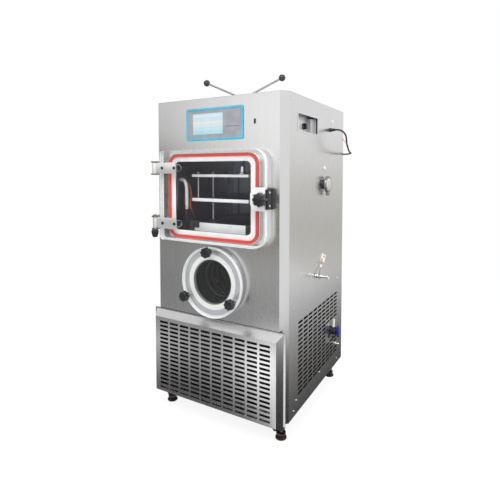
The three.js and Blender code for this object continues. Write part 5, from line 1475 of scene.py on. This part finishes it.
class DRYER_OT_trap(bpy.types.Operator):
    """Cold trap with its pot, coil, seal, clear cover and three star knobs"""

    bl_idname = "dryer.trap"
    bl_label = "Cold trap"

    def execute(self, context):
        low, high = span("trap_pot")
        cover_low, cover_high = span("trap_cover")
        seal_low, seal_high = span("trap_seal")
        centre = middle("trap_cover")
        bore = (0, 0, centre.z)
        mouth, wall, thick = 85.0, 5.0, 12.0
        flange = (high.z - low.z) / 2
        depth = high.y - wall
        bm = closed_lathe(bmesh.new(), [
            (mouth, thick), (flange - 1, thick), (flange, thick - 1), (flange, 0.3), (mouth, 0.3),
        ], bore, OUT_FRONT, 96)
        piece("trap_flange", bm, "cabinet", "trap_rim")
        bm = lathe(bmesh.new(), [
            (0, -high.y), (mouth + wall, -high.y), (mouth + wall, 0.3), (mouth, 0.3), (mouth, 6 - depth),
            (mouth - 6, -depth), (0, -depth),
        ], bore, OUT_FRONT, 72)
        piece("trap_pot_wall", bm, "cabinet", "trap_black", ("trap_pot",))
        bm = bmesh.new()
        inwards = Vector((0.9, 0, 0.43)).normalized()
        place = Vector((0, 122, centre.z)) - inwards * (mouth - 0.4)
        closed_lathe(bm, [(4.5, -0.2), (9, -0.2), (9, 2), (8, 3), (5.5, 3), (4.5, 2)], place, inwards, 32)
        piece("trap_drain_boss", bm, "cabinet", "satin")
        seal_radius = (seal_high.z - seal_low.z) / 2
        bm = closed_lathe(bmesh.new(), [
            (mouth + 2, 0), (seal_radius - 0.8, 0), (seal_radius, 0.8), (seal_radius, 2),
            (seal_radius - 0.7, 2.7), (mouth + 2.7, 2.7), (mouth + 2, 2),
        ], (0, -0.3 - thick, centre.z), OUT_FRONT, 96)
        piece("trap_gasket", bm, "cabinet", "white_seal", ("trap_seal",))
        self.coil(centre)
        radius = (cover_high.z - cover_low.z) / 2
        bm = lathe(bmesh.new(), [
            (0, 0), (radius - 1, 0), (radius, 1), (radius, 15), (radius - 1, 16), (0, 16),
        ], (0, cover_high.y, centre.z), OUT_FRONT, 96)
        mark_faces(bm, lambda face: abs(face.normal.y) < 0.75)
        piece("trap_window", bm, "cabinet", ["acrylic", "acrylic_edge"],
              ("trap_cover",), sharp=10)
        bm = washer(bmesh.new(), radius - 9, radius - 1, 0.1, 0.7, (0, cover_high.y, centre.z), OUT_BACK, 96)
        piece("trap_frosted_margin", bm, "cabinet", "frost")
        for i in (1, 2, 3):
            self.knob(i, cover_low.y)
        return {"FINISHED"}

    def coil(self, centre):
        low, high = span("trap_coil")
        turns, radius = 5, 4.8
        reach = (high.x - low.x) / 2 - radius
        steps = 28 * turns
        path = []
        for i in range(steps + 1):
            turn = 2 * math.pi * turns * i / steps
            along = low.y + radius + (high.y - low.y - 2 * radius) * i / steps
            path.append(Vector((reach * math.cos(turn), along, centre.z + reach * math.sin(turn))))
        bm = tube(bmesh.new(), path, radius, 12)
        piece("trap_cooling_coil", bm, "cabinet", "trap_black", ("trap_coil",))

    def knob(self, number, cover_front):
        place = joint_place(f"trap_knob_{number}_turn")
        low = span(f"trap_knob_{number}")[0]
        back = cover_front - 0.3
        star_back = back - 15.0
        bm = star_rings(bmesh.new(), (place.x, star_back, place.z), OUT_FRONT, 20, star_back - low.y, 8, [
            (0.8, 0), (0.97, 0.06), (1, 0.14), (1, 0.72), (0.97, 0.88), (0.88, 0.96), (0.66, 1.0)])
        join_into(bm, closed_lathe(bmesh.new(), [(5.6, 0), (10, 0), (10, 13), (11.5, 15.5), (5.6, 15.5)],
                                   (place.x, back, place.z), OUT_FRONT, 28))
        mark_faces(bm, lambda face: face.calc_center_median().y > star_back + 0.6)
        piece(f"trap_star_knob_{number}", bm, f"trap_knob_{number}", ["knob", "satin"],
              (f"trap_knob_{number}",))
        bm = rod(bmesh.new(), 5, 0, 34.4, (place.x, -11.5, place.z), OUT_FRONT, 20)
        piece(f"trap_stud_{number}", bm, "cabinet", "chrome")


# ------------ stoppering press


class DRYER_OT_press(bpy.types.Operator):
    """Press column, turning hub, two arms with ball knobs, and the ram"""

    bl_idname = "dryer.press"
    bl_label = "Press"

    def execute(self, context):
        column_low, column_high = span("press_column")
        centre = middle("press_column")
        ram_low, ram_high = span("press_ram")
        flange_bottom = column_high.z - 8
        bore = 16.4
        bm = closed_lathe(bmesh.new(), [
            (26, column_low.z), (26, flange_bottom), (39, flange_bottom), (40, flange_bottom + 1),
            (40, column_high.z - 1.2), (38.8, column_high.z), (bore, column_high.z), (bore, column_low.z),
        ], (centre.x, centre.y, 0), UP, 56)
        piece("press_collar", bm, "cabinet", "aluminium", ("press_column",))
        bolts = [((centre.x + 32 * math.cos(a), centre.y + 32 * math.sin(a), column_high.z), UP)
                 for a in (math.radians(30 + 60 * k) for k in range(6))]
        screws("press_flange_bolts", bolts, "cabinet", 3.2)
        hub_bottom = column_high.z + 0.3
        bm = bmesh.new()
        base = (centre.x, centre.y, hub_bottom)
        closed_lathe(bm, [
            (10.6, -55), (15.8, -55), (15.8, 0), (21, 0), (22, 1), (22, 29), (20.5, 32.5), (18, 34),
            (10.6, 34),
        ], base, UP, 48)
        lathe(bm, [(0, 27.5), (10.8, 27.5), (10.8, 33.4), (9.8, 34), (0, 34)], base, UP)
        hub_middle = Vector((centre.x, centre.y, column_high.z + 18))
        for side in ("left", "right"):
            ball = middle(f"press_ball_{side}")
            along = (ball - hub_middle).normalized()
            tube(bm, [hub_middle + along * 17, ball - along * 3], 4.0, 20)
            lathe(bm, [(0, 0), (7, 0), (7, 5), (5.6, 7), (0, 7)], hub_middle + along * 19, along, 24)
        piece("press_hub", bm, "press_handle", "satin", ("press_handle",))
        for side in ("left", "right"):
            self.ball(side, hub_middle)
        # Below this height the ram takes dark satin: painted shade inside the chamber.
        shade = 1110.0
        bm = lathe(bmesh.new(), [
            (0, ram_low.z), (10, ram_low.z), (10, shade), (10, ram_high.z - 1), (9, ram_high.z),
            (0, ram_high.z),
        ], (centre.x, centre.y, 0), UP)
        mark_faces(bm, lambda face: face.calc_center_median().z < shade)
        piece("press_ram_rod", bm, "press", ["chrome", "dark_satin"], ("press_ram",))
        bm = lathe(bmesh.new(), [(0, 0), (20, 0), (20, 5), (18, 6.5), (13, 8), (13, 31), (11, 33), (0, 33)],
                   (centre.x, centre.y, ram_low.z - 0.3), UP)
        piece("press_ram_coupling", bm, "press", "chrome")
        return {"FINISHED"}

    def ball(self, side, hub):
        """Ball knob with a flat where its arm goes in."""
        along = (middle(f"press_ball_{side}") - hub).normalized()
        radius, flat_radius, steps = 13.9, 6, 18
        flat = math.sqrt(radius ** 2 - flat_radius ** 2)
        first = math.asin(flat / radius)
        profile = [(0, -flat)]
        for i in range(steps + 1):
            turn = -first + i / steps * (first + math.pi / 2)
            profile.append((max(0.0, radius * math.cos(turn)), radius * math.sin(turn)))
        piece(f"press_ball_knob_{side}", lathe(bmesh.new(), profile, hub + along * 183.3, along),
              "press_handle", "knob", (f"press_ball_{side}",))


# ------------ fittings on the right-hand side


class DRYER_OT_fittings(bpy.types.Operator):
    """Vacuum port, air inlet with its tag, drain valve, nozzle, plugs and grommets"""

    bl_idname = "dryer.fittings"
    bl_label = "Side fittings"

    def execute(self, context):
        self.wall = span("right_side_panel")[1].x
        self.vacuum_port()
        self.air_inlet()
        self.drain()
        self.nozzle()
        self.plugs()
        return {"FINISHED"}

    def vacuum_port(self):
        high = span("vacuum_port")[1]
        centre = middle("vacuum_port")
        origin = (self.wall, centre.y, centre.z)
        reach = high.x - self.wall
        bm = lathe(bmesh.new(), [
            (0, -10), (20, -10), (20, 8), (21.5, 9), (27.5, 11), (27.5, reach - 3), (26.5, reach - 1.5),
            (20.5, reach), (0, reach),
        ], origin, OUT_RIGHT, 56)
        mark_faces(bm, lambda face: face.calc_center_median().x < self.wall + 8.2)
        piece("port_flange", bm, "cabinet", ["chrome", "knob"], ("vacuum_port",))
        clamp_low, clamp_high = span("port_clamp")
        start, end = clamp_low.x - self.wall, clamp_high.x - self.wall
        bm = closed_lathe(bmesh.new(), [
            (27.8, start), (33, start), (34.4, start + 1.2), (35, start + 3), (35, end - 3),
            (34.4, end - 1.2), (33, end), (27.8, end),
        ], origin, OUT_RIGHT, 56)
        lug = bmesh.new()
        for side in (-1, 1):
            near, far = sorted((centre.y + side * 1.2, centre.y + side * 9))
            block(lug, (clamp_low.x, near, clamp_low.z), (clamp_high.x, far, centre.z - 33))
        soften(lug, 1.4, 3)
        join_into(bm, lug)
        lathe(bm, [
            (0, -9.5), (3.6, -9.5), (3.6, -8.6), (2.5, -8.5), (2.5, 8.5), (4.8, 8.6), (4.8, 9.5), (0, 9.5),
        ], ((clamp_low.x + clamp_high.x) / 2, centre.y, clamp_low.z + 5), OUT_BACK, 16)
        piece("port_ring_clamp", bm, "cabinet", "satin", ("port_clamp",))

    def air_inlet(self):
        high = span("air_inlet")[1]
        centre = middle("air_inlet")
        origin = (self.wall, centre.y, centre.z)
        reach = high.x - self.wall
        bm = bmesh.new()
        hexagon(bm, 18, 0.3, 7, origin, OUT_RIGHT)
        lathe(bm, [
            (0, 5), (5, 5), (5, reach - 13), (5, reach - 12), (6.4, reach - 8), (9, reach - 2), (10, reach),
            (8.4, reach), (5, reach - 7), (0, reach - 7),
        ], origin, OUT_RIGHT, 36)
        lathe(bm, [(0, 13), (7.5, 13), (8, 13.6), (8, 21.4), (7.5, 22), (0, 22)], origin, OUT_RIGHT, 28)
        piece("inlet_valve", bm, "cabinet", "chrome", ("air_inlet",))
        bm = bmesh.new()
        hang = Vector((self.wall + 9, centre.y, centre.z))
        ring = [hang + Vector((0, 8 * math.cos(turn), 11 * math.sin(turn)))
                for turn in (-2.4, -1.6, -0.5, 0.6, 1.4, 2.2, 3.0)]
        knot = hang + Vector((-2, 18, 27))
        lean = Vector((0, math.sin(math.radians(40)), math.cos(math.radians(40))))
        tube(bm, route([*ring, hang + Vector((0, 3, 14)), knot, knot + lean * 34], 3), 0.9, 8)
        piece("tag_wire", bm, "cabinet", "dark_line")
        bead = [(0, 0), (3, 1), (4.2, 4), (4.2, 12), (3, 15), (0, 16)]
        bm = lathe(bmesh.new(), bead, knot + lean * 4, lean, 16)
        piece("tag_bead", bm, "cabinet", "white_plastic")
        face_on = Vector((0.75, -0.66, 0)).normalized()
        face_on = (face_on - lean * face_on.dot(lean)).normalized()
        across = face_on.cross(lean)

        def on_tag(u, v, depth):
            """Drawn across the tag and up it, with depth away from the wall."""
            return knot + lean * (v + 34) - across * u + face_on * depth

        bm = prism(bmesh.new(), rounded_rectangle(-11, 0, 11, 34, 2.0, 4), on_tag, -0.4, 0.4)
        piece("hang_tag", bm, "cabinet", "card")
        bm = bmesh.new()
        for bottom, left in ((3, -8), (20, -1)):
            prism(bm, rounded_rectangle(left, bottom, left + 9, bottom + 8, 0.5, 2), on_tag, 0.3, 0.6)
        piece("tag_patches", bm, "cabinet", "orange_print")

    def drain(self):
        centre = joint_place("drain_handle_turn")
        low, high = span("drain_valve")
        y, z = (low.y + high.y) / 2, centre.z
        origin = (self.wall, y, z)
        handle_low, handle_high = span("drain_handle")
        body = 24.0
        bm = lathe(bmesh.new(), [
            (0, 0.3), (17.5, 0.3), (19, 1.8), (19, 6), (17.6, 7), (17.6, 16), (19, 17), (19, 20), (15, body),
            (0, body),
        ], origin, OUT_RIGHT, 48)
        piece("drain_body", bm, "cabinet", "enamel", ("drain_valve",))
        bm = bmesh.new()
        stub_x = self.wall + body / 2
        tube(bm, [Vector((stub_x, y, z + 14)), Vector((stub_x, y, high.z - 1))], 5.2, 24)
        lathe(bm, [(0, 0), (6, 0), (6, 5), (5.2, 6), (0, 6)], (stub_x, y, z + 17), UP, 24)
        lathe(bm, [(0, -6), (5.6, -6), (6, -5), (6, -1), (5.2, 0), (0, 0)], (stub_x, y, high.z), UP, 24)
        piece("drain_outlet", bm, "cabinet", "white_plastic")
        bm = bmesh.new()
        half = (handle_high.z - handle_low.z) / 2
        wide = (handle_high.y - handle_low.y) / 2
        quarter = [(wide * 0.86, half * 0.45), (wide * 0.42, half * 0.86), (2, half)]
        wing = [(wide, 1.5), *quarter, *[(-u, v) for u, v in reversed(quarter)]]
        wings = [(y + sign * u, z + sign * v) for sign in (1, -1) for u, v in wing]
        prism(bm, wings, side_plane, handle_low.x + 4, handle_high.x)
        soften(bm, 1.8, 3)
        join_into(bm, washer(bmesh.new(), 6.4, 10, 0, 8, (handle_low.x, y, z), OUT_RIGHT, 32))
        piece("butterfly_handle", bm, "drain_handle", "blue", ("drain_handle",))
        bm = rod(bmesh.new(), 5.8, body, body + 9, origin, OUT_RIGHT, 28)
        piece("drain_stem", bm, "cabinet", "chrome")

    def nozzle(self):
        high = span("drain_nozzle")[1]
        centre = middle("drain_nozzle")
        reach = high.x - self.wall
        origin = (self.wall, centre.y, centre.z)
        bm = bmesh.new()
        hexagon(bm, 15, 0.3, 5, origin, OUT_RIGHT)
        lathe(bm, [(0, 4), (3.4, 4), (3.4, 8), (4.5, 9), (3.4, 12), (3.4, 12.5), (4.5, 13.5), (3.2, reach),
                   (2.2, reach), (2.2, reach - 8), (0, reach - 8)], origin, OUT_RIGHT, 28)
        piece("nozzle_barb", bm, "cabinet", "chrome", ("drain_nozzle",))

    def plugs(self):
        bm = bmesh.new()
        for y, z, radius in ((478, 1198, 8.5), (384, 994, 9)):
            lathe(bm, [
                (0, -1), (radius, -1), (radius, 1.5), (radius * 0.85, 3.6), (radius * 0.5, 4.8), (0, 5.2),
            ], (self.wall, y, z), OUT_RIGHT, 28)
        piece("hole_plugs", bm, "cabinet", "white_plastic")
        bm = bmesh.new()
        for y, z, radius in ((460, 250, 12), (508, 226, 7)):
            join_into(bm, closed_lathe(bmesh.new(), [
                (radius * 0.55, -1), (radius, -1), (radius, 1.5), (radius * 0.9, 3), (radius * 0.65, 3),
                (radius * 0.55, 2),
            ], (self.wall, y, z), OUT_RIGHT, 32))
            rod(bm, radius * 0.6, -1, 0.5, (self.wall, y, z), OUT_RIGHT, 24)
        piece("grommets", bm, "cabinet", "rubber")


# ------------ lead


class DRYER_OT_lead(bpy.types.Operator):
    """Black lead from the side gland round the rear corner to the rear gland"""

    bl_idname = "dryer.lead"
    bl_label = "Lead"

    def execute(self, context):
        side, rear = span("side_gland")[1], span("rear_gland")[1]
        side_middle, rear_middle = middle("side_gland"), middle("rear_gland")
        wall = span("right_side_panel")[1].x
        back = span("rear_cover")[1].y
        gap, straight, bend = 0.3, 5.0, 36.0
        droop = math.radians(58)
        start = Vector((side.x + gap, side_middle.y, side_middle.z))
        end = Vector((rear_middle.x, rear.y + gap, rear_middle.z))
        turns = [i * math.pi / 8 for i in range(5)]
        bow = [(straight + bend * math.sin(turn), bend * (1 - math.cos(turn))) for turn in turns]
        points = [start]
        for out, along in bow:
            points.append(start + Vector((out, along * math.cos(droop), -along * math.sin(droop))))
        points += [
            Vector((wall + 64, start.y + 35, start.z - 60)), Vector((wall + 61, start.y + 65, start.z - 78)),
            Vector((wall + 54, start.y + 102, start.z - 88)), Vector((wall + 46, back - 42, end.z + 6)),
            Vector((wall + 37, back + 2, end.z + 5)), Vector((wall + 20, back + 39, end.z + 4)),
            Vector((wall, back + 59, end.z + 3)),
        ]
        for out, along in reversed(bow):
            points.append(end + Vector((along, out, along / 14)))
        points.append(end)
        path = route(points, 4.0)
        bm = tube(bmesh.new(), path, 3.5, 16)
        lead = piece("mains_lead", bm, "cabinet", "rubber", ("lead",))
        self.gland("side_gland_relief", "side_gland", OUT_RIGHT, (wall, side_middle.y, side_middle.z))
        self.gland("rear_gland_relief", "rear_gland", OUT_BACK, (rear_middle.x, back, rear_middle.z))
        self.tie(path)
        return {"FINISHED"}

    def gland(self, name, node, axis, origin):
        reach = (span(node)[1] - Vector(origin)).dot(axis)
        bm = rod(bmesh.new(), 6.2, -7, 0.3, origin, axis, 28)
        hexagon(bm, 18, 0.3, 6, origin, axis)
        ribs, first_rib, widest, taper = 5, 6.5, 7.2, 2.6
        profile = [(0, 5), (widest, 5)]
        for k in range(ribs):
            along = first_rib + (reach - first_rib) * k / ribs
            radius = widest - taper * k / ribs
            profile += [(radius, along), (radius, along + 2.2), (radius - 0.8, along + 2.5)]
        profile += [(4.5, reach - 0.6), (4.2, reach), (0, reach)]
        lathe(bm, profile, origin, axis, 28)
        piece(name, bm, "cabinet", "knob", (node,))

    def tie(self, path):
        """Red cable tie a little way down the lead, with its cut tail turned inwards."""
        index = round(len(path) * 0.22)
        point = path[index]
        along = (path[index + 1] - path[index - 1]).normalized()
        inwards = (Vector((-1, 0, 0)) - along * -along.x).normalized()
        bm = washer(bmesh.new(), 3.52, 4.3, -1.8, 1.8, point, along, 20)
        tail = [point + inwards * 4, point + inwards * 10 - along * 6, point + inwards * 18 - along * 18]
        tube(bm, tail, 1.3, 8)
        tube(bm, [point + Vector((0, 3.6, 0)), point + Vector((0, 12, -3))], 1.6, 8)
        piece("lead_tie", bm, "cabinet", "red_tie")


# ------------ casters


class DRYER_OT_casters(bpy.types.Operator):
    """Four levelling casters: die-cast housing, wheel, red thumb wheel and foot"""

    bl_idname = "dryer.casters"
    bl_label = "Casters"

    def execute(self, context):
        for place in ("front_left", "front_right", "rear_left", "rear_right"):
            self.caster(place)
        return {"FINISHED"}

    def caster(self, place):
        swivel = joint_place(f"caster_{place}_swivel")
        axle = joint_place(f"wheel_{place}_spin")
        cap_top = span(f"caster_{place}")[1].z
        cap_bottom = cap_top - 5
        trail = Vector((axle.x - swivel.x, axle.y - swivel.y, 0))
        reach = trail.length
        along = trail.normalized()
        across = UP.cross(along)
        body, wheel_body = f"caster_{place}", f"wheel_{place}"
        base = Vector((swivel.x, swivel.y, 0))

        def local(u, v, depth):
            """Drawn along the trail and up, with depth across."""
            return base + along * u + across * depth + UP * v

        bm = bmesh.new()
        hood_bottom, shoulder = 53.0, 62.0
        cheek = [(0, 34), (reach * 0.5, 34), (reach * 0.8, 19), (reach * 1.2, 19), (reach * 1.42, 32),
                 (reach * 1.52, hood_bottom), (reach * 1.4, shoulder), (reach * 1.1, cap_bottom + 1),
                 (0, cap_bottom + 1)]
        hood = [(-4, hood_bottom), (reach * 1.48, hood_bottom), (reach * 1.36, shoulder),
                (reach * 1.08, cap_bottom + 0.8), (-4, cap_bottom + 0.8)]
        plates = (cheek, 13, 17, 1.4), (cheek, -17, -13, 1.4), (hood, -14, 14, 2.4)
        for outline, near, far, rounding in plates:
            plate = prism(bmesh.new(), outline, local, near, far)
            soften(plate, rounding, 3)
            join_into(bm, plate)
        lathe(bm, [(0, 34), (14, 34), (15, 35.5), (15, cap_bottom), (25, cap_bottom), (26, cap_bottom + 1),
                   (26, cap_top - 1), (25, cap_top), (0, cap_top)], base, UP, 44)
        centre = base + along * reach + UP * axle.z
        for side in (-1, 1):
            lathe(bm, [(0, 16.5), (6.5, 16.5), (6.5, 18.5), (5, 19.6), (0, 19.6)], centre, across * side, 20)
        piece(f"caster_housing_{place}", bm, body, "enamel", (f"caster_{place}",))
        foot = [(0, 0), (20, 0), (21, 1.2), (21, 4.6), (19, 6.6), (8, 9), (6, 10), (6, 16), (0, 16)]
        bm = lathe(bmesh.new(), foot, base, UP)
        piece(f"caster_foot_{place}", bm, body, "rubber")
        bm = star_rings(bmesh.new(), base + UP * 14, UP, 18, 11, 24, [
            (0.86, 0), (0.99, 0.12), (1, 0.3), (1, 0.75), (0.97, 0.9), (0.84, 1.0)], 4, 0.04)
        piece(f"caster_thumb_wheel_{place}", bm, body, "red_plastic")
        bm = rod(bmesh.new(), 7, 24, 35, base, UP, 24)
        piece(f"caster_screw_{place}", bm, body, "chrome")
        half = [(4.5, 11), (8, 11.6), (9, 11), (10, 9.2), (17, 9.2), (18.5, 12), (22, 12), (23.6, 9.5),
                (24, 6)]
        rim = [(radius, -out) for radius, out in half] + half[::-1]
        bm = closed_lathe(bmesh.new(), rim, centre, across, 44)
        piece(f"caster_tread_{place}", bm, wheel_body, "rubber", (f"wheel_{place}",))


# ------------ refrigeration unit


class DRYER_OT_condensing_unit(bpy.types.Operator):
    """Finned core, fan and compressor behind the slots"""

    bl_idname = "dryer.condensing_unit"
    bl_label = "Condensing unit"

    def execute(self, context):
        dress("condenser_core", "core")
        dress("fan_motor", "enamel")
        dress("fan", "enamel")
        dress("compressor", "enamel")
        return {"FINISHED"}


# ------------ add-on


class DRYER_PT_build(bpy.types.Panel):
    """Buttons that build the freeze dryer"""

    bl_idname = "DRYER_PT_build"
    bl_label = "Freeze Dryer"
    bl_space_type = "VIEW_3D"
    bl_region_type = "UI"
    bl_category = "Freeze Dryer"

    def draw(self, context):
        layout = self.layout
        for settings in SETTINGS:
            group = getattr(context.scene, settings)
            column = layout.column(align=True)
            for name in group.bl_rna.properties.keys():
                if name not in {"rna_type", "name"}:
                    column.prop(group, name)
        for step in STEPS:
            layout.operator(step.bl_idname)


STEPS = (
    DRYER_OT_stage,
    DRYER_OT_lead,
    DRYER_OT_cabinet,
    DRYER_OT_control_panel,
    DRYER_OT_switch,
    DRYER_OT_chamber,
    DRYER_OT_door,
    DRYER_OT_trap,
    DRYER_OT_press,
    DRYER_OT_fittings,
    DRYER_OT_casters,
    DRYER_OT_condensing_unit,
)
SETTINGS = {"dryer_finish": DryerFinish, "dryer_grille": DryerGrille, "dryer_stage": DryerStage}
CLASSES = (*SETTINGS.values(), *STEPS, DRYER_PT_build)


def register():
    for cls in CLASSES:
        bpy.utils.register_class(cls)
    for name, group in SETTINGS.items():
        setattr(bpy.types.Scene, name, PointerProperty(type=group))


def unregister():
    for name in SETTINGS:
        delattr(bpy.types.Scene, name)
    for cls in reversed(CLASSES):
        bpy.utils.unregister_class(cls)


def main():
    register()
    for step in STEPS:
        group, name = step.bl_idname.split(".")
        getattr(getattr(bpy.ops, group), name)()


if __name__ == "__main__":
    main()
